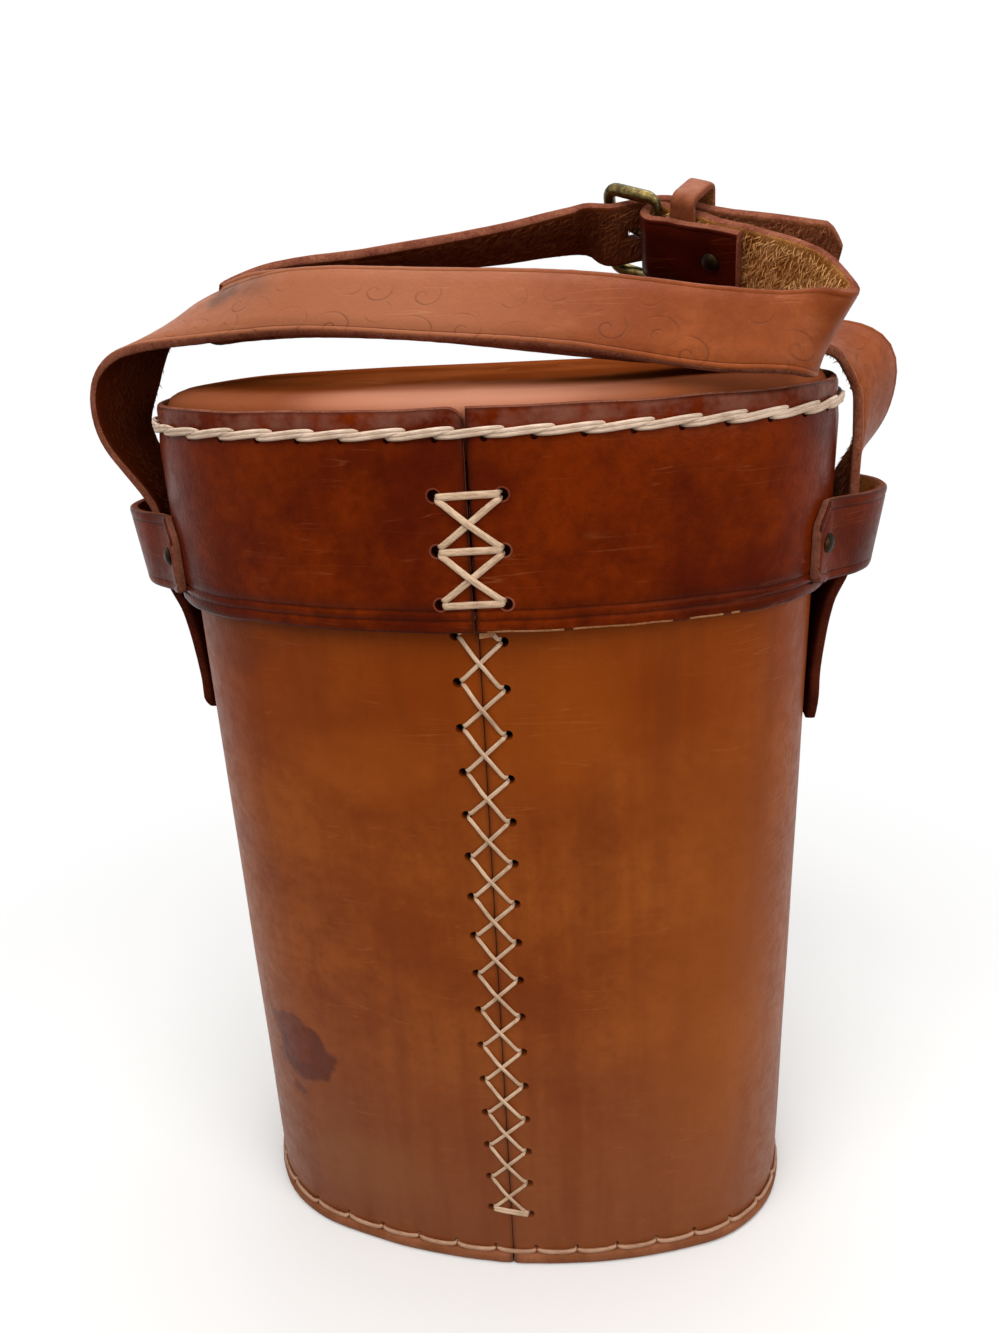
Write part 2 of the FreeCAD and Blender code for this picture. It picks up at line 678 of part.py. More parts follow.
# A window frame of square bars, every edge rounded.
window_half = neck_half + mm("frame_side_gap")
bar, bar_width = mm("bar_radius"), 2 * mm("bar_radius")
frame_outer = box("frame_outer", Vector(-bar, -bar, -window_half - bar_width),
                  Vector(mm("frame_length") + bar, bar, window_half + bar_width))
frame_window = box("frame_window", Vector(bar, -bar_width, -window_half),
                   Vector(mm("frame_length") - bar, bar_width, window_half))
frame_blank = combine("Cut", "frame_blank", frame_outer, frame_window)
doc.recompute()
frame = doc.addObject("Part::Fillet", "buckle_frame")
frame.Label = "buckle_frame"
frame.Base = frame_blank
frame.Edges = [(number, mm("frame_round"), mm("frame_round"))
               for number in range(1, len(frame_blank.Shape.Edges) + 1)]

keeper_half = half_strap * fold_width_shares[0] + gap
keeper_wall = mm("keeper_thickness")
keeper_near, keeper_far = -mm("keeper_place") - mm("keeper_width"), -mm("keeper_place")
keeper_rear = -billet_bar_side - thickness / 2 - gap
keeper_front = -keeper_wall / 2
keeper_outer = box("keeper_outer", Vector(keeper_near, keeper_rear - keeper_wall, -keeper_half - keeper_wall),
                   Vector(keeper_far, keeper_wall / 2, keeper_half + keeper_wall))
keeper_window = box("keeper_window", Vector(keeper_near - mm("overrun"), keeper_rear, -keeper_half),
                    Vector(keeper_far + mm("overrun"), keeper_front, keeper_half))
combine("Cut", "keeper_loop", keeper_outer, keeper_window)

# Prong: an eye round the heel bar and a shaft that rests behind the outer bar.
eye_bore = ["bar_radius", "prong_eye_gap"]
eye_low = -mm("prong_eye_height") / 2
rest_y = -total(["bar_radius", "prong_radius", "prong_rest_gap"])
shaft_line = Vector(mm("frame_length"), rest_y, 0)
shaft = doc.addObject("Part::Cylinder", "prong_shaft")
shaft.setExpression("Radius", "sizes.prong_radius")
shaft.Height = shaft_line.Length + mm("prong_overhang")
shaft.Placement = buckle_place * Placement(Vector(), Rotation(Vector(0, 0, 1), shaft_line))
eye = cylinder("prong_eye", eye_bore + ["prong_eye_wall"], ["prong_eye_height"], at_buckle(0, 0, eye_low))
bore = cylinder("prong_bore", eye_bore, ["prong_eye_height"], at_buckle(0, 0, eye_low))
combine("Cut", "buckle_prong", combine("Fuse", "prong_blank", eye, shaft), bore)

fold_face = fold_side + thickness / 2 + gap + mm("joint_gap")
fold_rivet_seat = buckle_place.multVec(Vector(-mm("fold_rivet_place"), fold_face, 0))
buckle_front = buckle_place.Rotation.multVec(Vector(0, 1, 0))
fold_rivet_length = 2 * fold_face
new_shape("fold_rivet", Part.makeCompound([rivet(fold_rivet_seat, buckle_front, fold_rivet_length, True)]))

# Straps: a smooth curve through the stations, each a centre, a direction across and a width


def station(centre, across, share):
    return list(centre) + list(across) + [share * mm("strap_width")]


def buckle_station(x, y, share):
    return station(at_buckle(x, y).Base, bar_axis, share)


def blend(values, others, first, second):
    return [first * a + second * b for a, b in zip(values, others)]


def smooth(stations):
    centres = [Vector(*place[:3]) for place in stations]
    spans = [(after - before).Length for before, after in zip(centres, centres[1:])]
    last = len(stations) - 1
    slopes = []
    for index in range(last + 1):
        low, high = max(index - 1, 0), min(index + 1, last)
        length = sum(spans[low:high])
        slopes.append(blend(stations[high], stations[low], 1 / length, -1 / length))
    places = [stations[0]]
    for index, span in enumerate(spans):
        steps = max(3, math.ceil(span / mm("strap_step")))
        for step in range(1, steps + 1):
            s = step / steps
            rise = 3 * s ** 2 - 2 * s ** 3
            ends = blend(stations[index], stations[index + 1], 1 - rise, rise)
            pulls = blend(slopes[index], slopes[index + 1], s ** 3 - 2 * s ** 2 + s, s ** 3 - s ** 2)
            places.append(blend(ends, pulls, 1, span))
    return places


def strap_section(centre, heading, across, width):
    across = (across - heading * across.dot(heading)).normalize() * (width / 2)
    through = heading.cross(across).normalize() * (thickness / 2)
    corners = [centre + across + through, centre - across + through,
               centre - across - through, centre + across - through]
    return Part.makePolygon(corners + corners[:1])


def ribbon(stations, point=0, point_share=1):
    places = smooth(stations)
    sections = []
    for index, place in enumerate(places):
        before, after = places[max(index - 1, 0)], places[min(index + 1, len(places) - 1)]
        heading = (Vector(*after[:3]) - Vector(*before[:3])).normalize()
        sections.append(strap_section(Vector(*place[:3]), heading, Vector(*place[3:6]), place[6]))
    if point:
        tip = Vector(*places[-1][:3]) + heading * point
        sections.append(strap_section(tip, heading, Vector(*place[3:6]), place[6] * point_share))
    return Part.makeLoft(sections, True, True)


loop_middle = total(loop_low) + mm("loop_height") / 2
loop_high = total(loop_low) + mm("loop_height")


def loop_stations(side):
    return [station(Vector(side * strap_side, 0, height), Vector(0, 1, 0), 1)
            for height in (loop_middle + gap / 2, loop_high)]


def lid_stations(shares):
    return [station(on_lid(share), across, width) for share, across, width in shares]


keeper_shares, rivet_shares, end_shares = fold_width_shares
fold_line = [(-mm("fold_length"), fold_side, end_shares), (-mm("fold_rivet_place"), fold_side, rivet_shares),
             (keeper_near, keeper_side, keeper_shares), (keeper_far, keeper_side, neck_width_share)]
turns = [math.radians(turn) for turn in range(-90, 91, 30)]
round_bar = [(bar_side * math.cos(turn), bar_side * math.sin(turn), neck_width_share) for turn in turns]
buckle_stations = loop_stations(-1) + lid_stations(buckle_route_shares)
buckle_stations += [buckle_station(x, -y, share) for x, y, share in fold_line]
buckle_stations += [buckle_station(*place) for place in round_bar]
buckle_stations += [buckle_station(*place) for place in reversed(fold_line)]


def prong_slot(near, far):
    half = mm("prong_eye_height") / 2 + mm("prong_slot_gap")
    deep = billet_bar_side + thickness
    slot = Part.makeBox(far - near, 2 * deep, 2 * half, Vector(near, -deep, -half))
    slot.Placement = buckle_place
    return slot


eye_reach = total(eye_bore + ["prong_eye_wall", "prong_slot_gap"])
fold_slot = prong_slot(-eye_reach, bar_side + thickness)
fold_bore = rivet_bore(fold_rivet_seat, buckle_front, fold_rivet_length)
new_shape("buckle_strap", ribbon(buckle_stations).cut([fold_slot, fold_bore]))

lead_x = billet_lead_shares[0] * mm("frame_length")
lead_y = billet_lead_shares[1] * outer_bar_side
billet_stations = loop_stations(1) + lid_stations(billet_route_shares)
billet_stations.append(station(at_buckle(lead_x, lead_y).Base, billet_lead_across, neck_width_share))
crossing = math.asin((outer_bar_side + billet_bar_side) / mm("frame_length"))
billet_stations += [buckle_station(x, y, neck_width_share) for x, y in (
    (mm("frame_length"), outer_bar_side),
    (mm("frame_length") - outer_bar_side * math.sin(crossing), outer_bar_side * math.cos(crossing)),
    (billet_bar_side * math.sin(crossing), -billet_bar_side * math.cos(crossing)),
    (0, -billet_bar_side), (keeper_far, -billet_bar_side),
    (keeper_near, -billet_side), (-mm("fold_rivet_place"), -billet_side * billet_spread_share))]
billet_stations += lid_stations(billet_tip_shares)
billet_slot = prong_slot(-mm("bar_radius"), mm("frame_length") - mm("bar_radius"))
billet = ribbon(billet_stations, mm("billet_point"), billet_point_share)
new_shape("billet_strap", billet.cut(billet_slot))

tail_side = mm("case_half_width") + gap + thickness / 2
tail_end = total(lid_bottom) - mm("tail_drop")
tail_rivet_length = total(["strap_thickness", "strap_gap", "wall_thickness", "joint_gap", "joint_gap"])
tail_rivets = []
for side, label in ((-1, "left_strap_tail"), (1, "right_strap_tail")):
    stations = [station(Vector(side * x, 0, height), Vector(0, 1, 0), 1) for x, height in (
        (strap_side, loop_middle - gap / 2), (strap_side, total(loop_low)),
        (tail_side, tail_end + mm("tail_seat")), (tail_side, tail_end + mm("tail_point")))]
    seat = Vector(side * (tail_side + thickness / 2 + mm("joint_gap")), 0, total(tail_rivet_height))
    outward = Vector(side, 0, 0)
    tail = ribbon(stations, mm("tail_point"), tail_point_share)
    new_shape(label, tail.cut(rivet_bore(seat, outward, tail_rivet_length)))
    tail_rivets.append(rivet(seat, outward, tail_rivet_length, True))
new_shape("tail_rivets", Part.makeCompound(tail_rivets))

# Check and write

nodes = ["case_wall", "case_seam_lace", "base_welt", "base_stitching", "base_panel", "base_pad", "divider",
         "left_strap_tail", "right_strap_tail", "tail_rivets", "lid_band", "lid_top", "lid_top_stitching",
         "lid_seam_lace", "left_strap_loop", "right_strap_loop", "loop_rivets", "buckle_strap",
         "billet_strap", "buckle_frame", "keeper_loop", "fold_rivet", "buckle_prong"]
doc.recompute()
for item in doc.Objects:
    if "Invalid" in item.State or "Error" in item.State:
        raise RuntimeError(item.Label + " did not rebuild")
os.makedirs("parts", exist_ok=True)
for node in nodes:
    shape = doc.getObjectsByLabel(node)[0].Shape
    if shape.isNull() or not shape.isValid() or not shape.Solids:
        raise RuntimeError(node + " has no sound solid")
    shape.exportStep("parts/" + node + ".step")
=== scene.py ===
import math
import bmesh
import bpy
from mathutils import Matrix, Vector, noise


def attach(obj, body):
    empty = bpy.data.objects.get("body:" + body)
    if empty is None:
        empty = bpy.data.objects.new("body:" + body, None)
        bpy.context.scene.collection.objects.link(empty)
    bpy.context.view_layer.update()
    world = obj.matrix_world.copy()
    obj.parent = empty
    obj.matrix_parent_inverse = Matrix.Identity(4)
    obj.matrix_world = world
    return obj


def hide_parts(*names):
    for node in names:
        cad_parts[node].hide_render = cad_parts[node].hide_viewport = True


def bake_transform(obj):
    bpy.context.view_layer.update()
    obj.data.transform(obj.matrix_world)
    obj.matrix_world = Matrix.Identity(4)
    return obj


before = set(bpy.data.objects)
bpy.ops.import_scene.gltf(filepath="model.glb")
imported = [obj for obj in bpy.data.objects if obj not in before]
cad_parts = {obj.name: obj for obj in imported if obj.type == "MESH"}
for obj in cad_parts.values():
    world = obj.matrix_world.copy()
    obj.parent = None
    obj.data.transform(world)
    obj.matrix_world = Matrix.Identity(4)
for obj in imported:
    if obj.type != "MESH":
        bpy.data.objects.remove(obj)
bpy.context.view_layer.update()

mm = 0.001  # the tables below are in millimetres
scene = bpy.context.scene
scene.view_settings.view_transform = "Standard"
print("frame loaded")

# viewpoint of the photograph: a phone held close, a little to the right and above the lid
view = {"place": (38.1, -327.7, 341.7), "yaw": -0.1197, "pitch": 0.3607, "roll": -0.0495, "lens": 27.0}


def addCamera():
    ahead = Vector((math.sin(view["yaw"]), math.cos(view["yaw"]), 0))
    right = Vector((math.cos(view["yaw"]), -math.sin(view["yaw"]), 0))
    up = Vector((0, 0, 1))
    look = ahead * math.cos(view["pitch"]) - up * math.sin(view["pitch"])
    top = up * math.cos(view["pitch"]) + ahead * math.sin(view["pitch"])
    side = right * math.cos(view["roll"]) + top * math.sin(view["roll"])
    top = top * math.cos(view["roll"]) - right * math.sin(view["roll"])
    data = bpy.data.cameras.new("photoView")
    data.lens = view["lens"]
    data.sensor_width = 36
    data.clip_start = 0.01
    camera = bpy.data.objects.new("photoView", data)
    turn = Matrix((side, top, -look)).transposed().to_4x4()
    camera.matrix_world = Matrix.Translation(Vector(view["place"]) * mm) @ turn
    scene.collection.objects.link(camera)
    scene.camera = camera


addCamera()
print("camera set")


# nodes and colours

def hexColor(code):
    parts = [int(code[i:i + 2], 16) / 255 for i in (0, 2, 4)]
    return [c / 12.92 if c <= 0.04045 else ((c + 0.055) / 1.055) ** 2.4 for c in parts] + [1]


def addNode(tree, kind, settings={}, links={}):
    node = tree.nodes.new(kind)
    for key, value in settings.items():
        if isinstance(key, str) and hasattr(node, key):
            setattr(node, key, value)
        else:
            node.inputs[key].default_value = value
    for key, source in links.items():  # a node stands for its first output
        tree.links.new(getattr(source, "outputs", [source])[0], node.inputs[key])
    return node


def newMaterial(name):
    mat = bpy.data.materials.new(name)
    mat.use_nodes = True
    mat.node_tree.nodes.clear()
    return mat, mat.node_tree


# Vegetable-tanned leather: dye soaked in unevenly (clouds), fine pores, stray scratches, and the rim colour where the
# "rim" attribute says so: burnished edges and creases, on the lid's crown a painted highlight. The wax finish gives a
# soft, warm sheen that the pores break up.
def leather(name, look, overlay=None):
    mat, tree = newMaterial(name)
    place = addNode(tree, "ShaderNodeTexCoord").outputs["Object"]
    cloud = addNode(tree, "ShaderNodeTexNoise", {"Scale": 1 / (look["cloud"] * mm), "Detail": 5, "Roughness": 0.6},
                    {"Vector": place})
    fine = addNode(tree, "ShaderNodeTexNoise", {"Scale": 1 / (look["fleck"] * mm), "Detail": 5, "Roughness": 0.72},
                   {"Vector": place})
    cloudRamp = addNode(tree, "ShaderNodeMapRange", {1: 0.36, 2: 0.66, "interpolation_type": "SMOOTHSTEP"},
                        {0: cloud})
    tone = addNode(tree, "ShaderNodeMix", {"data_type": "RGBA", 6: hexColor(look["dark"]),
                                           7: hexColor(look["light"])}, {0: cloudRamp})
    fleckRamp = addNode(tree, "ShaderNodeMapRange", {1: 0.42, 2: 0.7, 3: 0.0, 4: look["flecks"]}, {0: fine})
    colour = addNode(tree, "ShaderNodeMix", {"data_type": "RGBA", 7: hexColor(look["fleckColor"])},
                     {0: fleckRamp, 6: tone.outputs[2]}).outputs[2]
    relief = None
    if overlay:
        colour, relief = overlay(tree, place, colour)

    # scratches: thin contour lines of a noise drawn out along the piece, kept only in patches
    drawn = addNode(tree, "ShaderNodeMapping", {"Rotation": (0, look["scratchTilt"], 0), "Scale": (13, 13, 250)},
                    {"Vector": place})
    lines = addNode(tree, "ShaderNodeTexNoise", {"Scale": 1.0, "Detail": 1.5, "Roughness": 0.6},
                    {"Vector": drawn})
    away = addNode(tree, "ShaderNodeMath", {"operation": "SUBTRACT", 1: 0.5}, {0: lines})
    away = addNode(tree, "ShaderNodeMath", {"operation": "ABSOLUTE"}, {0: away})
    thin = addNode(tree, "ShaderNodeMapRange", {1: 0.002, 2: 0.011, 3: look["scratch"], 4: 0}, {0: away})
    patch = addNode(tree, "ShaderNodeTexNoise", {"Scale": 1 / (19 * mm), "Detail": 3}, {"Vector": place})
    kept = addNode(tree, "ShaderNodeMapRange", {1: 0.5, 2: 0.66}, {0: patch})
    scratch = addNode(tree, "ShaderNodeMath", {"operation": "MULTIPLY"}, {0: thin, 1: kept})
    rim = addNode(tree, "ShaderNodeAttribute", {"attribute_name": "rim"})
    rimMask = addNode(tree, "ShaderNodeMath", {"operation": "MULTIPLY", 1: look.get("rim", 0.8)},
                      {0: rim.outputs["Fac"]})
    for shade, mask in (("scratchColor", scratch), ("rimColor", rimMask)):
        colour = addNode(tree, "ShaderNodeMix", {"data_type": "RGBA", 7: hexColor(look[shade])},
                         {0: mask, 6: colour}).outputs[2]

    # pores about a millimetre apart over soft creases
    pores = addNode(tree, "ShaderNodeTexVoronoi", {"feature": "SMOOTH_F1", "Scale": 1 / (look["pore"] * mm),
                                                   "Smoothness": 0.6}, {"Vector": place})
    crease = addNode(tree, "ShaderNodeTexNoise", {"Scale": 1 / (6 * mm), "Detail": 6, "Roughness": 0.65},
                     {"Vector": place})
    height = addNode(tree, "ShaderNodeMath", {"operation": "MULTIPLY_ADD", 1: 0.35},
                     {0: pores.outputs["Distance"], 2: crease})
    height = addNode(tree, "ShaderNodeMath", {"operation": "MULTIPLY_ADD", 1: -0.5},
                     {0: scratch, 2: height})
    if relief:
        height = addNode(tree, "ShaderNodeMath", {"operation": "MULTIPLY_ADD", 1: -0.9},
                         {0: relief, 2: height})
    bump = addNode(tree, "ShaderNodeBump", {"Strength": look["bump"], "Distance": 0.5 * mm},
                   {"Height": height})
    rough = addNode(tree, "ShaderNodeMapRange", {1: 0.3, 2: 0.7, 3: look["rough"] - 0.08, 4: look["rough"] + 0.12},
                    {0: fine})
    shader = addNode(tree, "ShaderNodeBsdfPrincipled", {"IOR": 1.5, "Specular IOR Level": look["gloss"],
                                                        "Specular Tint": hexColor(look["sheen"])},
                     {"Base Color": colour, "Roughness": rough, "Normal": bump})
    addNode(tree, "ShaderNodeOutputMaterial", {}, {"Surface": shader})
    return mat


caseLook = {"dark": "79350C", "light": "914917", "fleckColor": "66290A", "flecks": 0.4, "scratchColor": "A9632F",
            "rimColor": "2E1006", "rim": 0.75, "sheen": "FFB890", "cloud": 48, "fleck": 5, "pore": 1.1,
            "rough": 0.42, "gloss": 0.2, "scratch": 0.28, "scratchTilt": 0.25, "bump": 0.3}
lidLook = {"dark": "501404", "light": "722603", "fleckColor": "3A0C02", "flecks": 0.45, "scratchColor": "8A4A2A",
           "rimColor": "2A0B04", "sheen": "FFA078", "cloud": 36, "fleck": 4, "pore": 1.0, "rough": 0.30,
           "gloss": 0.08, "scratch": 0.4, "scratchTilt": -0.15, "bump": 0.38}
# the crown's pale rim colour is a painted highlight along its front rows; the top has no gloss
topLook = {"dark": "7C3814", "light": "914A22", "fleckColor": "6C2C0C", "flecks": 0.4, "scratchColor": "B5754A",
           "rimColor": "B8846C", "rim": 0.75, "sheen": "FFC8A8", "cloud": 40, "fleck": 5, "pore": 1.2,
           "rough": 0.5, "gloss": 0.0, "scratch": 0.3, "scratchTilt": 0.1, "bump": 0.3}
strapLook = {"dark": "79350F", "light": "8B441C", "fleckColor": "622A0F", "flecks": 0.4, "scratchColor": "BC8058",
             "rimColor": "4E200E", "sheen": "FFD8C0", "cloud": 26, "fleck": 3, "pore": 0.9, "rough": 0.46,
             "gloss": 0.2, "scratch": 0.22, "scratchTilt": 0.6, "bump": 0.35}
darkLook = {"dark": "4C1505", "light": "68230B", "fleckColor": "3A0F05", "flecks": 0.45, "scratchColor": "8A4A2A",
            "rimColor": "260B05", "sheen": "FFC8B0", "cloud": 25, "fleck": 3, "pore": 0.9, "rough": 0.36,
            "gloss": 0.1, "scratch": 0.35, "scratchTilt": 0.4, "bump": 0.35}
weltLook = {"dark": "7C4526", "light": "93593A", "fleckColor": "5E2E16", "flecks": 0.5, "scratchColor": "B58060",
            "rimColor": "4A2412", "sheen": "FFD8C0", "cloud": 16, "fleck": 2, "pore": 0.8, "rough": 0.6,
            "gloss": 0.25, "scratch": 0.4, "scratchTilt": 0.0, "bump": 0.5}


# tints that set in along one direction: from and to in metres, colour, strength
def addTints(tree, along, colour, tints, patch=None):
    for near, far, shade, most in tints:
        share = addNode(tree, "ShaderNodeMapRange", {1: near, 2: far, 4: most, "interpolation_type": "SMOOTHSTEP"},
                        {0: along})
        if patch is not None:
            share = addNode(tree, "ShaderNodeMath", {"operation": "MULTIPLY"}, {0: share, 1: patch})
        colour = addNode(tree, "ShaderNodeMix", {"data_type": "RGBA", 7: hexColor(shade)},
                         {0: share, 6: colour}).outputs[2]
    return colour


# The dye of the case is more orange under the lid and browner at the foot, streaked down the wall, with a dark cloud
# beside the seam and a round stain low on the left. Two of its clouds are painted light: a painted shadow just under
# the lid on the left and a lighter right side.
def caseDyeAndPaintedLight(tree, place, colour):
    height = addNode(tree, "ShaderNodeSeparateXYZ", {}, {0: place}).outputs[2]
    colour = addTints(tree, height, colour, ((0.14, 0.02, "7C4426", 0.75), (0.16, 0.26, "7E3200", 0.7)))
    fall = addNode(tree, "ShaderNodeMapping", {"Scale": (95, 95, 7)}, {"Vector": place})
    streak = addNode(tree, "ShaderNodeTexNoise", {"Scale": 1.0, "Detail": 4}, {"Vector": fall})
    share = addNode(tree, "ShaderNodeMapRange", {1: 0.48, 2: 0.68, 4: 0.4}, {0: streak})
    colour = addNode(tree, "ShaderNodeMix", {"data_type": "RGBA", 7: hexColor("662808")},
                     {0: share, 6: colour}).outputs[2]
    stain = (((-82, -38, 91), (9, 20, 9), "562016", 0.25, 0.75), ((-75, -45, 81), (13, 22, 13), "4A1A12", 0.2, 0.8),
             ((-78, -43, 86), (8, 20, 9), "70301C", 0.5, 0.5), ((-79, -42, 64), (4, 12, 3.5), "5A2414", 0.4, 0.7),
             ((-86, -34, 74), (3, 12, 5), "5A2414", 0.4, 0.6))
    # clouds: 521E06 just under the lid on the left is a painted shadow, A0561C over the right side is painted light;
    # the others are dye
    clouds = (((33, -62, 165), (12, 40, 52), "5E260A", 0.5, 0.3), ((-84, -40, 242), (24, 30, 12), "521E06", 0.5, 0.4),
              ((22, -60, 222), (34, 30, 34), "93440A", 0.6, 0.4),
              ((-40, -60, 205), (36, 30, 18), "9A4C10", 0.6, 0.35),
              ((-55, -55, 35), (36, 40, 22), "84502C", 0.6, 0.4),
              ((75, -42, 120), (50, 45, 130), "A0561C", 0.8, 0.35))
    return addBlots(tree, place, colour, stain + clouds), None


# soft-edged blots of colour: centre and half size in millimetres, edge softness, strength
def addBlots(tree, place, colour, marks):
    warp = addNode(tree, "ShaderNodeTexNoise", {"Scale": 1 / (15 * mm), "Detail": 5}, {"Vector": place})
    bent = addNode(tree, "ShaderNodeVectorMath", {"operation": "MULTIPLY_ADD", 1: (14 * mm,) * 3},
                   {0: warp.outputs["Color"], 2: place})
    for centre, size, shade, soft, strength in marks:
        shift = [-(c + 7) / s for c, s in zip(centre, size)]  # the warp adds 7 mm on average
        local = addNode(tree, "ShaderNodeMapping", {"Location": shift, "Scale": [1 / (s * mm) for s in size]},
                        {"Vector": bent})
        blot = addNode(tree, "ShaderNodeTexGradient", {"gradient_type": "SPHERICAL"}, {"Vector": local})
        mask = addNode(tree, "ShaderNodeMapRange", {1: 0.0, 2: soft, 3: 0, 4: strength,
                                                    "interpolation_type": "SMOOTHSTEP"}, {0: blot.outputs[1]})
        colour = addNode(tree, "ShaderNodeMix", {"data_type": "RGBA", 7: hexColor(shade)},
                         {0: mask, 6: colour}).outputs[2]
    return colour


# The lid band is pale above its stitching, partly dust and partly a painted sheen, and darkest along its lower edge.
def lidDyeAndSheen(tree, place, colour):
    height = addNode(tree, "ShaderNodeSeparateXYZ", {}, {0: place}).outputs[2]
    dustAndSheen = addNode(tree, "ShaderNodeTexNoise", {"Scale": 1 / (13 * mm), "Detail": 4, "Roughness": 0.6},
                   {"Vector": place})
    patch = addNode(tree, "ShaderNodeMapRange", {1: 0.42, 2: 0.62}, {0: dustAndSheen})
    # the pale strip above the stitching is dust and painted sheen; the dark tint runs along the lower edge
    tints = ((0.3075, 0.3095, "7E5648", 0.6), (0.268, 0.252, "2E0802", 0.55))
    return addTints(tree, height, colour, tints, patch), None


# The lid's top is darker to the left and has a pale painted highlight at the front of its crown.
def topDyeAndHighlight(tree, place, colour):
    return addBlots(tree, place, colour, (((-78, -30, 318), (40, 60, 30), "68300F", 0.6, 0.5),
                                          ((-5, -52, 316), (46, 26, 20), "B87458", 0.6, 0.5))), None


# Flesh side and cut edges of the leather: matted golden fibres, no shine.
def rawLeather(name, dark, light, fuzz, overlay=None):
    mat, tree = newMaterial(name)
    place = addNode(tree, "ShaderNodeTexCoord").outputs["Object"]
    nap = addNode(tree, "ShaderNodeTexNoise", {"Scale": 1 / (1.3 * mm), "Detail": 6, "Roughness": 0.75,
                                               "Distortion": 1.6}, {"Vector": place})
    tuft = addNode(tree, "ShaderNodeTexNoise", {"Scale": 1 / (8 * mm), "Detail": 4}, {"Vector": place})
    blend = addNode(tree, "ShaderNodeMath", {"operation": "MULTIPLY_ADD", 1: 0.7, 2: -0.05}, {0: nap})
    blend = addNode(tree, "ShaderNodeMath", {"operation": "MULTIPLY_ADD", 1: 0.35},
                    {0: tuft, 2: blend})
    ramp = addNode(tree, "ShaderNodeMapRange", {1: 0.36, 2: 0.62}, {0: blend})
    colour = addNode(tree, "ShaderNodeMix", {"data_type": "RGBA", 6: hexColor(dark), 7: hexColor(light)},
                     {0: ramp}).outputs[2]
    if overlay:
        colour = overlay(tree, place, colour)
    bump = addNode(tree, "ShaderNodeBump", {"Strength": fuzz, "Distance": 0.9 * mm}, {"Height": nap})
    shader = addNode(tree, "ShaderNodeBsdfPrincipled", {"Roughness": 0.95, "IOR": 1.5, "Specular IOR Level": 0.0},
                     {"Base Color": colour, "Normal": bump})
    addNode(tree, "ShaderNodeOutputMaterial", {}, {"Surface": shader})
    return mat


# The strap's flesh side: raw and golden by the buckle, with painted shade left of the buckle and deeper painted shade
# towards the left loop.
def strapFleshShade(tree, place, colour):
    side = addNode(tree, "ShaderNodeSeparateXYZ", {}, {0: place}).outputs[0]
    return addTints(tree, side, colour, ((0.062, 0.03, "4E2009", 0.8), (-0.06, -0.095, "4A1807", 0.9)))


# Strap leather with shallow scroll tooling, worn thin: spirals round scattered points of the strap's UV
# (u across and v along, in strap widths), mostly in its lower half. It is paler and pinker to the left and has
# a dark smudge at its upper edge.
def toolStrap(tree, place, colour):
    side = addNode(tree, "ShaderNodeSeparateXYZ", {}, {0: place}).outputs[0]
    colour = addTints(tree, side, colour, ((0.06, -0.02, "975A3B", 0.75),))
    colour = addBlots(tree, place, colour, (((-77, -13, 343), (10, 10, 8), "36221A", 0.7, 0.6),
                                            ((-62, -20, 346), (19, 11, 7), "52301F", 0.7, 0.45)))
    uv = addNode(tree, "ShaderNodeUVMap", {"uv_map": "UVMap"}).outputs[0]
    across = addNode(tree, "ShaderNodeSeparateXYZ", {}, {0: uv}).outputs[0]
    eye = addNode(tree, "ShaderNodeTexVoronoi", {"voronoi_dimensions": "2D", "Scale": 2.1, "Randomness": 0.7},
                  {"Vector": uv})
    away = addNode(tree, "ShaderNodeVectorMath", {"operation": "SUBTRACT"}, {0: uv, 1: eye.outputs["Position"]})
    reach = addNode(tree, "ShaderNodeVectorMath", {"operation": "LENGTH"}, {0: away}).outputs["Value"]
    parts = addNode(tree, "ShaderNodeSeparateXYZ", {}, {0: away})
    angle = addNode(tree, "ShaderNodeMath", {"operation": "ARCTAN2"}, {0: parts.outputs[1], 1: parts})
    spiral = addNode(tree, "ShaderNodeMath", {"operation": "MULTIPLY_ADD", 1: 36.0}, {0: reach, 2: angle})
    wave = addNode(tree, "ShaderNodeMath", {"operation": "SINE"}, {0: spiral})
    line = addNode(tree, "ShaderNodeMapRange", {1: 0.8, 2: 1.0, "interpolation_type": "SMOOTHSTEP"}, {0: wave})
    inside = addNode(tree, "ShaderNodeMapRange", {1: 0.25, 2: 0.2}, {0: reach})
    gap = addNode(tree, "ShaderNodeTexNoise", {"noise_dimensions": "2D", "Scale": 2.6, "Detail": 2}, {"Vector": uv})
    kept = addNode(tree, "ShaderNodeMapRange", {1: 0.4, 2: 0.6}, {0: gap})
    low = addNode(tree, "ShaderNodeMapRange", {1: 0.74, 2: 0.5}, {0: across})
    mask = line.outputs[0]
    for share in (inside, kept, low):
        mask = addNode(tree, "ShaderNodeMath", {"operation": "MULTIPLY"}, {0: mask, 1: share}).outputs[0]
    dark = addNode(tree, "ShaderNodeMath", {"operation": "MULTIPLY", 1: 0.38}, {0: mask})
    colour = addNode(tree, "ShaderNodeMix", {"data_type": "RGBA", 7: hexColor("52230F")},
                     {0: dark, 6: colour}).outputs[2]
    return colour, mask


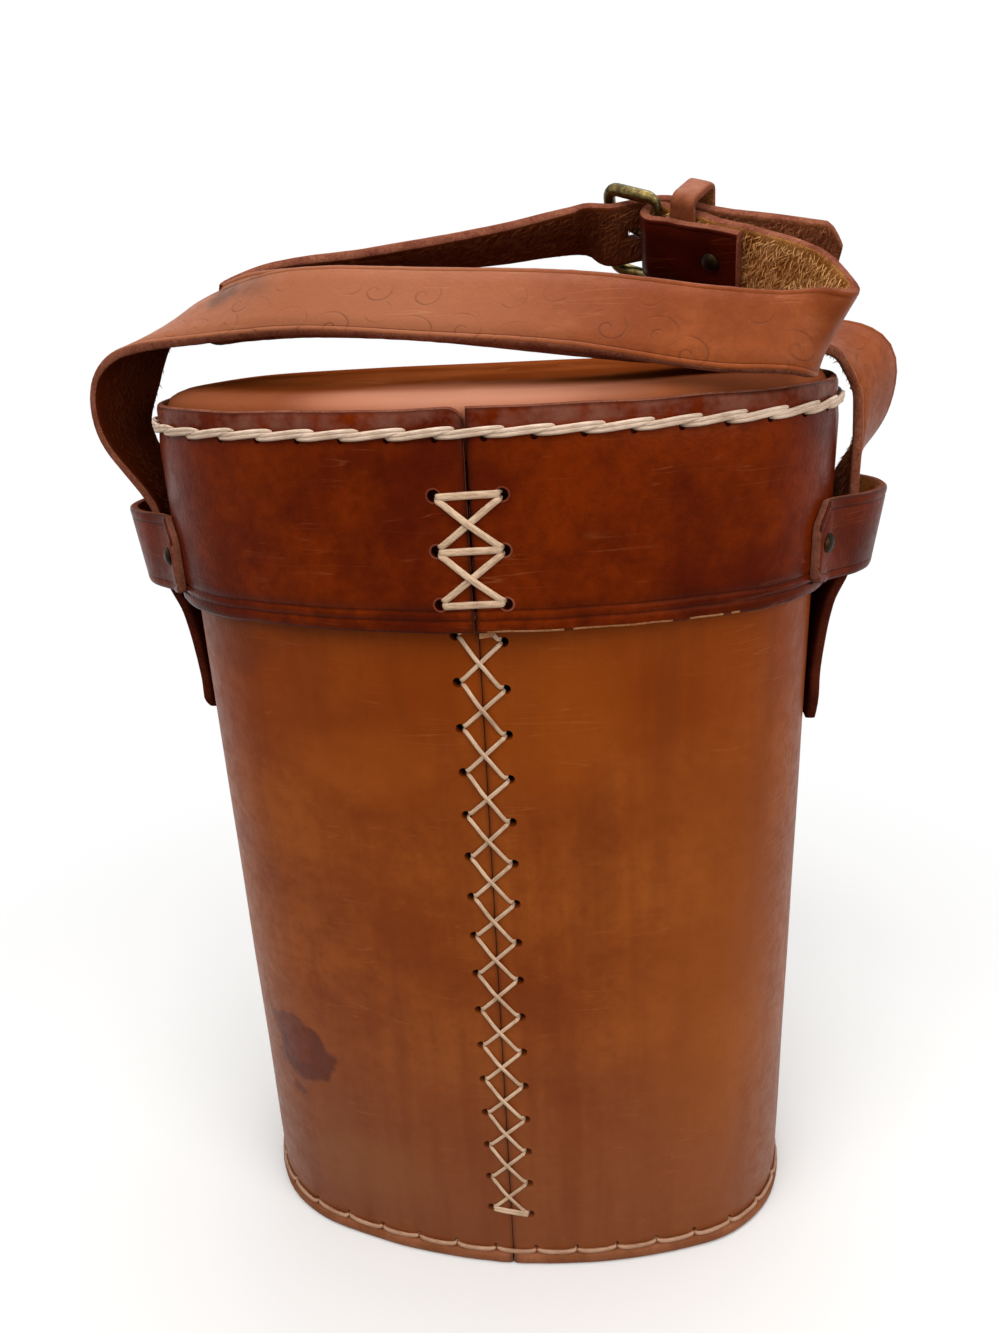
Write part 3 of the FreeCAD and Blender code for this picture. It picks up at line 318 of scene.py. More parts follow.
# Waxed cotton lace and thread: cream, with fine fibres along it (drawn coarser than life to show).
def waxedThread(name, dark, light):
    mat, tree = newMaterial(name)
    uv = addNode(tree, "ShaderNodeUVMap", {"uv_map": "UVMap"})
    drawn = addNode(tree, "ShaderNodeMapping", {"Scale": (9, 0.6, 1)}, {"Vector": uv})
    fibre = addNode(tree, "ShaderNodeTexNoise", {"Scale": 1.0, "Detail": 3, "Roughness": 0.6}, {"Vector": drawn})
    place = addNode(tree, "ShaderNodeTexCoord").outputs["Object"]
    soil = addNode(tree, "ShaderNodeTexNoise", {"Scale": 1 / (7 * mm), "Detail": 3}, {"Vector": place})
    tone = addNode(tree, "ShaderNodeMath", {"operation": "MULTIPLY_ADD", 1: 0.6, 2: 0.0}, {0: fibre})
    tone = addNode(tree, "ShaderNodeMath", {"operation": "MULTIPLY_ADD", 1: 0.4}, {0: soil, 2: tone})
    ramp = addNode(tree, "ShaderNodeMapRange", {1: 0.35, 2: 0.62}, {0: tone})
    colour = addNode(tree, "ShaderNodeMix", {"data_type": "RGBA", 6: hexColor(dark), 7: hexColor(light)},
                     {0: ramp})
    bump = addNode(tree, "ShaderNodeBump", {"Strength": 0.6, "Distance": 0.25 * mm}, {"Height": fibre})
    shader = addNode(tree, "ShaderNodeBsdfPrincipled", {"Roughness": 0.62, "IOR": 1.45, "Specular IOR Level": 0.35},
                     {"Base Color": colour.outputs[2], "Normal": bump})
    addNode(tree, "ShaderNodeOutputMaterial", {}, {"Surface": shader})
    return mat


# Antique brass: cast, lacquered dark in the hollows and rubbed bright on the high places.
def antiqueBrass(name, dark, bright, rough):
    mat, tree = newMaterial(name)
    place = addNode(tree, "ShaderNodeTexCoord").outputs["Object"]
    tarnish = addNode(tree, "ShaderNodeTexNoise", {"Scale": 1 / (3 * mm), "Detail": 5, "Roughness": 0.65},
                      {"Vector": place})
    ramp = addNode(tree, "ShaderNodeMapRange", {1: 0.35, 2: 0.68}, {0: tarnish})
    colour = addNode(tree, "ShaderNodeMix", {"data_type": "RGBA", 6: hexColor(dark), 7: hexColor(bright)},
                     {0: ramp})
    gloss = addNode(tree, "ShaderNodeMapRange", {1: 0.3, 2: 0.7, 3: rough + 0.15, 4: rough - 0.08}, {0: tarnish})
    bump = addNode(tree, "ShaderNodeBump", {"Strength": 0.15, "Distance": 0.2 * mm}, {"Height": tarnish})
    shader = addNode(tree, "ShaderNodeBsdfPrincipled", {"Metallic": 1.0},
                     {"Base Color": colour.outputs[2], "Roughness": gloss, "Normal": bump})
    addNode(tree, "ShaderNodeOutputMaterial", {}, {"Surface": shader})
    return mat


caseLeather = leather("tanCaseLeather", caseLook, caseDyeAndPaintedLight)
lidLeather = leather("redBrownLidLeather", lidLook, lidDyeAndSheen)
topLeather = leather("mouldedLidLeather", topLook, topDyeAndHighlight)
strapLeather = leather("tooledStrapLeather", strapLook, toolStrap)
keeperLeather = leather("keeperLeather", dict(strapLook, dark="7E4226", light="965638"))
darkLeather = leather("darkLoopLeather", darkLook)
# the fold's darker copy of the loop leather is painted shade on the turned-back end
foldShadeLeather = leather("darkFoldLeather", dict(darkLook, dark="2C0803", light="440F05", gloss=0.06))
weltLeather = leather("weltLeather", weltLook)
fleshSide = rawLeather("leatherFleshSide", "7C441A", "CC8E4C", 1.0, strapFleshShade)
# the billet's flesh side and nap below are darker copies of the buckle strap's: painted shade on the strap that runs
# behind
shadedBilletFlesh = rawLeather("billetFleshSide", "663420", "985C3A", 1.0, strapFleshShade)
looseNap = rawLeather("looseNap", "C88640", "FFCE92", 0.2, strapFleshShade)
billetNap = rawLeather("billetNap", "78402A", "B07048", 0.2, strapFleshShade)
cutEdge = rawLeather("leatherCutEdge", "70382A", "A6684E", 0.8)
dyedEdge = rawLeather("dyedLoopEdge", "6C3A2A", "905C48", 0.6)
tailEdge = rawLeather("dyedTailEdge", "3E170E", "60291A", 0.6)
rawTan = rawLeather("rawTanEdge", "A8683E", "DDA678", 0.8)
# a paler copy of the lid leather for the lips round the lace holes: a painted highlight
punchedLip = leather("punchedLip", dict(lidLook, dark="6A2C1E", light="864838"))
innerFlesh = rawLeather("caseInnerFlesh", "6E4524", "96683E", 0.6)
creamLace = waxedThread("creamLace", "A07E62", "DDBC9C")
creamThread = waxedThread("creamThread", "AC8F76", "E2C8B2")
soiledThread = waxedThread("soiledThread", "8E6246", "BD9478")
buckleBrass = antiqueBrass("antiqueBrass", "2A2114", "8A7848", 0.34)
rivetMetal = antiqueBrass("darkRivet", "16100B", "352818", 0.42)
padFelt = rawLeather("pressedFelt", "3E352C", "5A4E42", 0.8)  # grey wool, as dull as a flesh side
print("materials made")


# meshes: a section swept through a list of rings

def circle(sides):
    return [(math.cos(2 * math.pi * k / sides), math.sin(2 * math.pi * k / sides)) for k in range(sides)]


def linkMesh(name, verts, faces, mats, edges=[]):
    mesh = bpy.data.meshes.new(name)
    mesh.from_pydata(verts, edges, faces)
    for mat in mats:
        mesh.materials.append(mat)
    obj = bpy.data.objects.new(name, mesh)
    scene.collection.objects.link(obj)
    return obj


def sweep(name, rings, mats, loop=False, tube=True, slots=None, across=None, along=None, rims=None, crease=50):
    count, size = len(rings), len(rings[0])
    verts = [point for ring in rings for point in ring]
    faces, faceSlots, corners = [], [], []
    for i in range(count if loop else count - 1):
        for j in range(size if tube else size - 1):
            k, n = (j + 1) % size, (i + 1) % count
            faces.append((i * size + j, i * size + k, n * size + k, n * size + j))
            faceSlots.append(slots[j] if slots else 0)
            corners.append(((i, j), (i, j + 1), (i + 1, j + 1), (i + 1, j)))
    if tube and not loop:
        faces += [tuple(range(size)), tuple(range((count - 1) * size, count * size))]
    elif not tube and loop:
        faces += [tuple(i * size for i in range(count)), tuple(i * size + size - 1 for i in range(count))]
    caps = len(faces) - len(faceSlots)
    obj = linkMesh(name, verts, faces, mats)
    mesh = obj.data
    mesh.polygons.foreach_set("material_index", faceSlots + [slots[-1] if slots else 0] * caps)
    across = across or [j / size for j in range(size + 1)]
    along = along or list(range(count + 1))
    layer = mesh.uv_layers.new(name="UVMap")
    for polygon, corner in zip(mesh.polygons, corners):
        for index, (i, j) in zip(polygon.loop_indices, corner):
            layer.data[index].uv = (across[min(j, len(across) - 1)], along[min(i, len(along) - 1)])
    if rims:
        attribute = mesh.attributes.new("rim", "FLOAT", "POINT")
        attribute.data.foreach_set("value", [rims(i, j) for i in range(count) for j in range(size)])
    finishMesh(obj, crease)
    return obj


def finishMesh(obj, crease=50):
    work = bmesh.new()
    work.from_mesh(obj.data)
    bmesh.ops.recalc_face_normals(work, faces=work.faces)
    work.to_mesh(obj.data)
    work.free()
    obj.data.polygons.foreach_set("use_smooth", [True] * len(obj.data.polygons))
    obj.data.set_sharp_from_angle(angle=math.radians(crease))


def plainMesh(obj):
    graph = bpy.context.evaluated_depsgraph_get()
    mesh = bpy.data.meshes.new_from_object(obj.evaluated_get(graph))
    obj.modifiers.clear()
    obj.data = mesh
    mesh.name = obj.name
    return obj


def place(obj, body, slot, *nodes):
    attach(obj, body)
    if nodes:
        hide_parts(*nodes)
    return obj


# loose fibres on a strap's flesh side: where they grow across its width (u), their turns and their lengths
nap = {"length": 2.4, "width": 0.24, "density": 1.4e6, "seed": 4, "comb": (-0.6, 0, -0.8), "middle": 0.6,
       "reach": 0.355, "leastTurn": (-0.15, -0.25, -0.9), "mostTurn": (0.15, 0.1, 0.9), "shortest": 0.5,
       "longest": 1.25}


# copies of one piece: round an outline, up a row, on a strap's flesh side, or at spots that say how they face
def copyTree(name, kind):
    tree = bpy.data.node_groups.new(name, "GeometryNodeTree")
    for label, socket in (("Geometry", "Geometry"), ("Piece", "Object"), ("Count", "Int"), ("Pitch", "Float"),
                          ("Sway", "Float"), ("Density", "Float"), ("Seed", "Int"), ("Material", "Material")):
        tree.interface.new_socket(label, in_out="INPUT", socket_type="NodeSocket" + socket)
    tree.interface.new_socket("Geometry", in_out="OUTPUT", socket_type="NodeSocketGeometry")
    given = addNode(tree, "NodeGroupInput")
    piece = addNode(tree, "GeometryNodeObjectInfo", {}, {"Object": given.outputs["Piece"]})
    sway = addNode(tree, "ShaderNodeCombineXYZ", {}, {axis: given.outputs["Sway"] for axis in range(3)})
    back = addNode(tree, "ShaderNodeVectorMath", {"operation": "SCALE", "Scale": -1.0}, {0: sway})
    chance = addNode(tree, "FunctionNodeRandomValue", {"data_type": "FLOAT_VECTOR"},
                     {0: back, 1: sway, "Seed": given.outputs["Seed"]})
    if kind == "path":
        path = addNode(tree, "GeometryNodeMeshToCurve", {}, {0: given.outputs["Geometry"]})
        points = addNode(tree, "GeometryNodeResampleCurve", {}, {"Curve": path, "Count": given.outputs["Count"]})
        tangent = addNode(tree, "GeometryNodeInputTangent")
        aim = addNode(tree, "FunctionNodeAlignRotationToVector", {"axis": "X", "pivot_axis": "Z"},
                      {"Vector": tangent})
        turn = addNode(tree, "FunctionNodeRotateRotation", {"rotation_space": "LOCAL"},
                       {0: aim, 1: chance})
        places = {"Points": points, "Rotation": turn}
    elif kind == "row":
        offset = addNode(tree, "ShaderNodeCombineXYZ", {}, {2: given.outputs["Pitch"]})
        points = addNode(tree, "GeometryNodeMeshLine", {}, {"Count": given.outputs["Count"], "Offset": offset})
        upright = addNode(tree, "ShaderNodeVectorMath", {"operation": "MULTIPLY", 1: (0, 1, 0)}, {0: chance})
        places = {"Points": points, "Rotation": upright}
    elif kind == "nap":
        seed = given.outputs["Seed"]
        slot = addNode(tree, "GeometryNodeInputMaterialIndex")
        flesh = addNode(tree, "FunctionNodeCompare", {"data_type": "INT", "operation": "EQUAL", 3: 1}, {2: slot})
        uv = addNode(tree, "GeometryNodeInputNamedAttribute", {"data_type": "FLOAT_VECTOR", "Name": "UVMap"})
        across = addNode(tree, "ShaderNodeVectorMath", {"operation": "MULTIPLY", 1: (1, 0, 0)}, {0: uv})
        away = addNode(tree, "ShaderNodeVectorMath", {"operation": "DISTANCE", 1: (nap["middle"], 0, 0)},
                       {0: across})
        inner = addNode(tree, "FunctionNodeCompare", {"operation": "LESS_THAN", 1: nap["reach"]},
                        {0: away.outputs["Value"]})
        chosen = addNode(tree, "FunctionNodeBooleanMath", {"operation": "AND"}, {0: flesh, 1: inner})
        points = addNode(tree, "GeometryNodeDistributePointsOnFaces", {},
                         {"Mesh": given.outputs["Geometry"], "Selection": chosen,
                          "Density": given.outputs["Density"], "Seed": seed})
        turn = addNode(tree, "FunctionNodeRandomValue",
                       {"data_type": "FLOAT_VECTOR", 0: nap["leastTurn"], 1: nap["mostTurn"]}, {"Seed": seed})
        comb = addNode(tree, "FunctionNodeAlignRotationToVector",
                       {"axis": "X", "pivot_axis": "Z", "Vector": nap["comb"]},
                       {"Rotation": points.outputs["Rotation"]})
        aim = addNode(tree, "FunctionNodeRotateRotation", {"rotation_space": "LOCAL"}, {0: comb, 1: turn})
        length = addNode(tree, "FunctionNodeRandomValue",
                         {"data_type": "FLOAT", 2: nap["shortest"], 3: nap["longest"]}, {"Seed": seed})
        places = {"Points": points, "Rotation": aim, "Scale": length.outputs[1]}
    else:
        facing = addNode(tree, "GeometryNodeInputNamedAttribute", {"data_type": "FLOAT_VECTOR", "Name": "facing"})
        aim = addNode(tree, "FunctionNodeAlignRotationToVector", {"axis": "Z"}, {"Vector": facing})
        places = {"Points": given.outputs["Geometry"], "Rotation": aim}
    copies = addNode(tree, "GeometryNodeInstanceOnPoints", {}, dict(places, Instance=piece.outputs["Geometry"]))
    solid = addNode(tree, "GeometryNodeRealizeInstances", {}, {0: copies})
    coated = addNode(tree, "GeometryNodeSetMaterial", {},
                     {"Geometry": solid, "Material": given.outputs["Material"]})
    addNode(tree, "NodeGroupOutput", {}, {0: coated})
    return tree


pathCopies = copyTree("copiesAlongPath", "path")
rowCopies = copyTree("copiesInRow", "row")
spotCopies = copyTree("copiesAtSpots", "spots")
napCopies = copyTree("fibresOnFlesh", "nap")


def spread(name, tree, points, piece, settings):
    edges = [(i, (i + 1) % len(points)) for i in range(len(points))] if tree == pathCopies else []
    return fillCopies(linkMesh(name, points, [], [], edges), tree, piece, settings)


# spots are pairs of a place in millimetres and the way that it faces
def spreadSpots(name, spots, piece, settings):
    obj = linkMesh(name, [Vector(spot) * mm for spot, _ in spots], [], [])
    attribute = obj.data.attributes.new("facing", "FLOAT_VECTOR", "POINT")
    attribute.data.foreach_set("vector", [part for _, facing in spots for part in facing])
    return fillCopies(obj, spotCopies, piece, settings)


def fillCopies(obj, tree, piece, settings):
    maker = obj.modifiers.new("copies", "NODES")
    maker.node_group = tree
    sockets = {item.name: item.identifier for item in tree.interface.items_tree if item.in_out == "INPUT"}
    for label, value in dict(settings, Piece=piece).items():
        maker[sockets[label]] = value  # before the first evaluation
    plainMesh(obj)
    bpy.data.objects.remove(piece)
    obj.data.polygons.foreach_set("use_smooth", [True] * len(obj.data.polygons))
    return obj


# ovals of four tangent arcs (half width, half depth, end radius), walked from the front seam towards +X

caseOval = (103.0, 57.5, 47.5)
lidOval = (104.2, 60.7, 48.7)
lidOuter = (107.6, 64.1, 52.1)
outlinePoints = 240


def ovalArcs(oval):
    half, depth, end = oval
    reach = half - end
    side = (reach ** 2 + depth ** 2 - end ** 2) / (2 * (depth - end))
    turn = math.atan2(side - depth, reach)
    return [(0, side - depth, side, -math.pi / 2, -turn), (reach, 0, end, -turn, turn),
            (0, depth - side, side, turn, math.pi - turn), (-reach, 0, end, math.pi - turn, math.pi + turn),
            (0, side - depth, side, math.pi + turn, 1.5 * math.pi)]


def ovalLength(oval):
    return sum(radius * (last - first) for _, _, radius, first, last in ovalArcs(oval))


def ovalPoint(oval, s):
    for x, y, radius, first, last in ovalArcs(oval):
        angle = first + s / radius
        if angle <= last + 1e-9:
            break
        s -= radius * (last - first)
    return x + radius * math.cos(angle), y + radius * math.sin(angle), math.cos(angle), math.sin(angle)


def ovalRings(oval, places, profile):
    rings = []
    for s in places:
        x, y, nx, ny = ovalPoint(oval, s)
        rings.append([Vector((x + nx * out, y + ny * out, z)) * mm for out, z in profile(s)])
    return rings


# places along a split ring: closer together beside the seam, so that its edges can be rounded
seamSteps = (0, 0.35, 0.9, 1.8, 3, 4.5, 6.5, 9)


def splitPlaces(length, gap, step):
    near = [gap + away for away in seamSteps]
    count = round((length - 2 * near[-1]) / step)
    middle = [near[-1] + (length - 2 * near[-1]) * i / count for i in range(1, count)]
    return near + middle + [length - s for s in reversed(near)]


# a butted edge falls off in its last half millimetre and swells a little behind that
def seamEdge(s, length, gap):
    away = min(s, length - s) - gap
    return -0.7 * math.exp(-(away / 0.4) ** 2) + 0.3 * math.exp(-((away - 3.5) / 3) ** 2)


def nearSeam(s, length, gap, reach):
    return math.exp(-((min(s, length - s) - gap) / reach) ** 2)


def ripple(s, z, size, seed):
    return noise.noise(Vector((s / size, z / size, seed)))


# case wall: one sheet bent round, its ends butted at the front, its top edge rounded in steps (in, down)
caseWall = {"low": 5.0, "high": 298.5, "thick": 3.4, "gap": 0.13, "rows": 84, "innerRows": 12, "step": 2.6,
            "sway": 0.35, "swayLength": 60, "edge": 1.6, "rounding": ((0.12, 0.7), (0.4, 0.25), (0.95, 0.0))}


def caseProfile(s):
    low, high, thick, rows = caseWall["low"], caseWall["high"], caseWall["thick"], caseWall["rows"]
    shoulder = high - caseWall["edge"]
    seam = 0.6 * seamEdge(s, ovalLength(caseOval), caseWall["gap"])

    def swell(z):
        return caseWall["sway"] * ripple(s, z, caseWall["swayLength"], 3.1)

    heights = [low + (shoulder - low) * row / rows for row in range(rows + 1)]
    outer = [(swell(z) + seam, z) for z in heights]
    top = outer[-1][0] - seam
    outer += [(top - drop + seam, high - height) for drop, height in caseWall["rounding"]]
    inner = [(top - thick + drop - 0.2 * seam, high - height) for drop, height in reversed(caseWall["rounding"])]
    rows = caseWall["innerRows"]
    heights = [shoulder - (shoulder - low) * row / rows for row in range(rows + 1)]
    return outer + inner + [(swell(z) - thick - 0.2 * seam, z) for z in heights]


# a hole at each spot, as deep to both sides, across the way that the spot faces
def punch(obj, spots, radius, depth, sides=12):
    ring = [(radius * c, radius * s) for c, s in circle(sides)]
    drum = sweep("drum", [[Vector((x, y, z)) * mm for x, y in ring] for z in (-depth, depth)], [])
    subtract(obj, spreadSpots("punch", spots, drum, {}), 50)


def subtract(obj, cutter, crease):
    cut = obj.modifiers.new("cut", "BOOLEAN")
    cut.operation, cut.solver, cut.object = "DIFFERENCE", "EXACT", cutter
    plainMesh(obj)
    bpy.data.objects.remove(cutter)
    obj.data.set_sharp_from_angle(angle=math.radians(crease))


# a raised lip round each punched hole, in paler leather that is a painted highlight
def addLips(name, spots, radius, body, slot, sides=16, thick=0.32):
    tube = [(radius + thick * c, thick * s) for c, s in circle(6)]
    lip = sweep("lip", [[Vector((reach * c, reach * s, z)) * mm for reach, z in tube] for c, s in circle(sides)],
                [punchedLip], loop=True)
    lips = spreadSpots(name, spots, lip, {"Material": punchedLip})
    finishMesh(lips, 80)
    place(lips, body, slot)


# spots on an oval, one beside each stitch
def stitchHoles(oval, stitch):
    length = ovalLength(oval)
    spots = []
    for k in range(stitch["count"]):
        s = (length * (k / stitch["count"] + 0.5 / outlinePoints) + stitch["holeShift"]) % length
        x, y, nx, ny = ovalPoint(oval, s)
        spots.append(((x, y, stitch["height"] + stitch["holeRise"]), (nx, ny, 0)))
    return spots


laceHoleDepth, stitchHoleDepth = 6, 2
caseLace = {"rows": 19, "pitch": 14.8, "first": 26.8, "half": 7.0, "stagger": 2.3, "hole": 1.65,
            "width": 1.35, "thick": 0.8, "inset": 1.1, "sway": 0.035}
footStitch = {"count": 35, "height": 5.9, "width": 1.8, "thick": 1.3, "reach": 7.2, "taper": 0.3, "sway": 0.02,
              "hole": 0.95, "holeShift": 7.5, "holeRise": 1.9}


def buildCase():
    length = ovalLength(caseOval)
    places = splitPlaces(length, caseWall["gap"], caseWall["step"])
    rings = ovalRings(caseOval, places, caseProfile)
    rows = caseWall["rows"]
    size = len(rings[0])

    def rims(i, j):
        seam = nearSeam(places[i], length, caseWall["gap"], 1.0)
        return max(0.5 * seam, 1.0 if rows + 1 <= j <= rows + 6 else 0.0)

    slots = [0 if j < rows + 3 else 1 for j in range(size)]
    wall = sweep("caseWall", rings, [caseLeather, innerFlesh], slots=slots, rims=rims)
    spots = []
    for row in range(caseLace["rows"]):
        z = caseLace["first"] + row * caseLace["pitch"]
        for side, height in ((-1, z), (1, z - caseLace["stagger"])):
            spots.append(((side * caseLace["half"], -caseOval[1], height), (0, -1, 0)))
    punch(wall, spots, caseLace["hole"], laceHoleDepth)
    punch(wall, stitchHoles(caseOval, footStitch), footStitch["hole"], stitchHoleDepth)
    place(wall, "case", "case_leather", "case_wall")


buildCase()
print("case wall made")

# foot: a rounded welt split under the seam, the bottom panel, the pad and the partition (sections: out, up)
foot = {"weltGap": 0.25, "weltStep": 4.0, "weltWave": 0.25, "waveLength": 14, "panelSteps": 120}
weltSection = [(-7.2, 0.0), (-3.0, 0.0), (0.2, 0.05), (1.0, 0.45), (1.5, 1.2), (1.6, 2.4), (1.45, 3.6), (0.9, 4.6),
               (0.1, 4.95), (-3.5, 4.95), (-7.2, 4.95)]
panelSection = [(-50.0, 4.9), (-30.0, 4.9), (-8.6, 4.9), (-7.9, 4.6), (-7.6, 4.0), (-7.6, 1.0), (-7.9, 0.3),
                (-8.8, 0.0), (-30.0, 0.0), (-50.0, 0.0)]
padSection = [(-50.0, 7.9), (-30.0, 7.95), (-10.0, 7.8), (-5.6, 7.5), (-4.4, 6.9), (-4.0, 6.0), (-4.3, 5.2),
              (-5.2, 5.02), (-30.0, 5.02), (-50.0, 5.02)]
partition = {"front": -48.1, "depth": 99.2, "steps": 40, "bow": 0.8, "footTrim": 1.2, "topDrop": 6,
             "softSteps": 1.5}


def partitionSection(k):
    soft = 1 - min(1.0, min(k, partition["steps"] - k) / partition["softSteps"])
    bow = partition["bow"] * math.sin(math.pi * k / partition["steps"])
    trim, drop = partition["footTrim"] * soft, partition["topDrop"] * soft
    return [(23.6 - trim, 8.05), (24.0 - trim, 9.0), (23.4 - trim, 10.8), (6.0, 11.0), (4.0, 11.6),
            (3.0 + 0.1 * bow, 14.0), (2.95 + bow, 60), (2.95 + bow, 120), (2.9 + 0.7 * bow, 170),
            (2.8, 195.5 - drop), (2.2, 197.5 - drop), (0.8, 197.5 - drop), (0.15, 195.5 - drop),
            (0.05 + 0.7 * bow, 170), (0.05 + bow, 120), (0.05 + bow, 60), (0.05, 14), (0.05, 8.05)]


def buildFoot():
    length = ovalLength(caseOval)
    weltPlaces = splitPlaces(length, foot["weltGap"], foot["weltStep"])

    def profile(s):
        wave = foot["weltWave"] * ripple(s, 0, foot["waveLength"], 8.0)
        edge = 0.6 * seamEdge(s, length, foot["weltGap"])
        return [(out + (wave + edge if out > 0.5 else 0), z) for out, z in weltSection]

    def rims(i, j):
        return 0.9 * nearSeam(weltPlaces[i], length, foot["weltGap"], 1.5)

    ring = sweep("baseWelt", ovalRings(caseOval, weltPlaces, profile), [weltLeather], rims=rims)
    place(ring, "case", "loop_leather", "base_welt")

    places = [length * i / foot["panelSteps"] for i in range(foot["panelSteps"])]
    panel = sweep("basePanel", ovalRings(caseOval, places, lambda s: panelSection), [caseLeather], loop=True,
                  tube=False)
    place(panel, "case", "case_leather", "base_panel")
    pad = sweep("basePad", ovalRings(caseOval, places, lambda s: padSection), [padFelt], loop=True, tube=False)
    place(pad, "case", "pad_felt", "base_pad")

    sections = []
    for k in range(partition["steps"] + 1):
        y = partition["front"] + partition["depth"] * k / partition["steps"]
        sections.append([Vector((x, y, z)) * mm for x, z in partitionSection(k)])
    wallBetween = sweep("bottlePartition", sections, [innerFlesh], crease=60)
    place(wallBetween, "case", "case_leather", "divider")


buildFoot()
print("foot made")

# lid band: double crease above its lower edge, pulled in a little along the stitching, its cut top uneven
band = {"low": 251.3, "high": 313.6, "thick": 3.4, "gap": 0.4, "step": 2.6, "stitchLine": 307.0, "corner": 4.5,
        "crease": 0.34, "creaseRows": (3.7, 4.1, 6.6, 7.0), "pull": 0.75, "pullHalf": 3.6, "skive": 1.1,
        "skiveHeight": 6.6, "sway": 0.3, "swayLength": 50}
bandRows = [0.9, 2.2, 3.3, 3.7, 4.1, 4.5, 6.2, 6.6, 7.0, 7.4, *range(10, 50, 3), 51, 53, 54.2, 55.2, 56.2, 57.4,
            58.6, 59.8, 60.8]


def bandProfile(s):
    length = ovalLength(lidOuter)
    low = band["low"] + 0.25 * ripple(s, 0, 9, 1.7)
    fromLeft = length - s - band["gap"]  # the left panel's top corner is cut round beside the seam
    drop = band["corner"] - math.sqrt(max(0, band["corner"] ** 2 - max(0, band["corner"] - fromLeft) ** 2))
    high = band["high"] - 0.3 + 0.45 * ripple(s, 5, 22, 4.4) - 0.85 * drop
    edge = seamEdge(s, length, band["gap"])
    stretch = (high - low) / (band["high"] - band["low"])
    out = [(-0.9, low), (-0.3, low + 0.25)]
    for row in bandRows:
        z = low + row * stretch
        crease = -band["crease"] if row in band["creaseRows"] else 0
        pull = -band["pull"] * math.exp(-((z - band["stitchLine"]) / band["pullHalf"]) ** 2)
        skive = -band["skive"] * (max(0, z - band["stitchLine"]) / band["skiveHeight"]) ** 1.3
        out.append((band["sway"] * ripple(s, z, band["swayLength"], 6.2) + crease + pull + skive + edge, z))
    out += [(-1.3 + edge, high - 0.4), (-1.8, high)]
    inner = [(-2.8, high), (-3.2, high - 0.5)]
    inner += [(-band["thick"] + 0.2 * ripple(s, z, band["swayLength"], 6.2), z) for z in (300, 285, 270, 256)]
    return out + inner + [(-3.2, low + 0.4), (-2.6, low)]


lidLace = {"rows": 3, "pitch": 15.3, "first": 259.9, "half": 9.3, "face": -63.4, "hole": 1.9, "width": 2.1,
           "thick": 0.8, "inset": 0.9, "taper": 0.35}
lidStitch = {"count": 42, "height": 307.0, "width": 1.35, "thick": 1.3, "reach": 9.3, "slant": 0.8, "ply": 0.5,
             "taper": 0.62, "sway": 0.02, "hole": 1.05, "holeShift": -9.2, "holeRise": -1.5}


def buildBand():
    length = ovalLength(lidOuter)
    places = splitPlaces(length, band["gap"], band["step"])
    rings = ovalRings(lidOuter, places, bandProfile)
    outerCount = 2 + len(bandRows) + 2
    size = len(rings[0])

    def rims(i, j):
        seam = nearSeam(places[i], length, band["gap"], 1.2)
        low = 0.55 if j in (5, 6, 9, 10) else 0
        return max(0.8 * seam, low, 1.0 if j >= outerCount - 2 or j < 2 else 0)

    slots = [2 if j < 1 else 0 if j < outerCount - 2 else 2 if j < outerCount + 1 else 1 for j in range(size)]
    slots[-1] = 2
    ring = sweep("lidBand", rings, [lidLeather, innerFlesh, dyedEdge, rawTan], slots=slots, rims=rims)
    for polygon in ring.data.polygons:  # the lower edge is frayed to the right of the seam
        x, y, z = polygon.center / mm
        if z < band["low"] + 0.8 and y < -20 and 3 < x < 75 and ripple(x, z, 4, 2.2) > -0.25:
            polygon.material_index = 3
    spots = [((side * lidLace["half"], lidLace["face"], lidLace["first"] + row * lidLace["pitch"]), (0, -1, 0))
             for row in range(lidLace["rows"]) for side in (-1, 1)]
    punch(ring, spots, lidLace["hole"], laceHoleDepth)
    lipSpots = [((x, y - 0.4, z), way) for (x, y, z), way in spots]
    addLips("lidHoleLips", lipSpots, lidLace["hole"] + 0.1, "lid", "lid_leather")
    punch(ring, stitchHoles(lidOuter, lidStitch), lidStitch["hole"], stitchHoleDepth)
    place(ring, "lid", "lid_leather", "lid_band")


# lid top: moulded over a form, a soft shoulder and a nearly flat crown, hollow below (sections: out, up)
crown = [(-0.3, 299.2), (-0.3, 305.0), (-0.35, 309.5), (-0.9, 312.4), (-2.2, 314.6), (-4.2, 316.1), (-7.0, 317.0),
         (-11.0, 317.4), (-17.0, 317.6), (-25.0, 317.7), (-34.0, 317.7), (-42.0, 317.7), (-46.5, 317.7)]
hollow = [(-46.5, 314.2), (-34.0, 314.2), (-17.0, 314.1), (-9.0, 313.6), (-6.0, 312.0), (-4.8, 309.0),
          (-4.6, 299.2)]
lidTop = {"steps": 170, "sag": 0.45, "wave": 0.5, "waveLength": 45, "highlightHalf": 62}


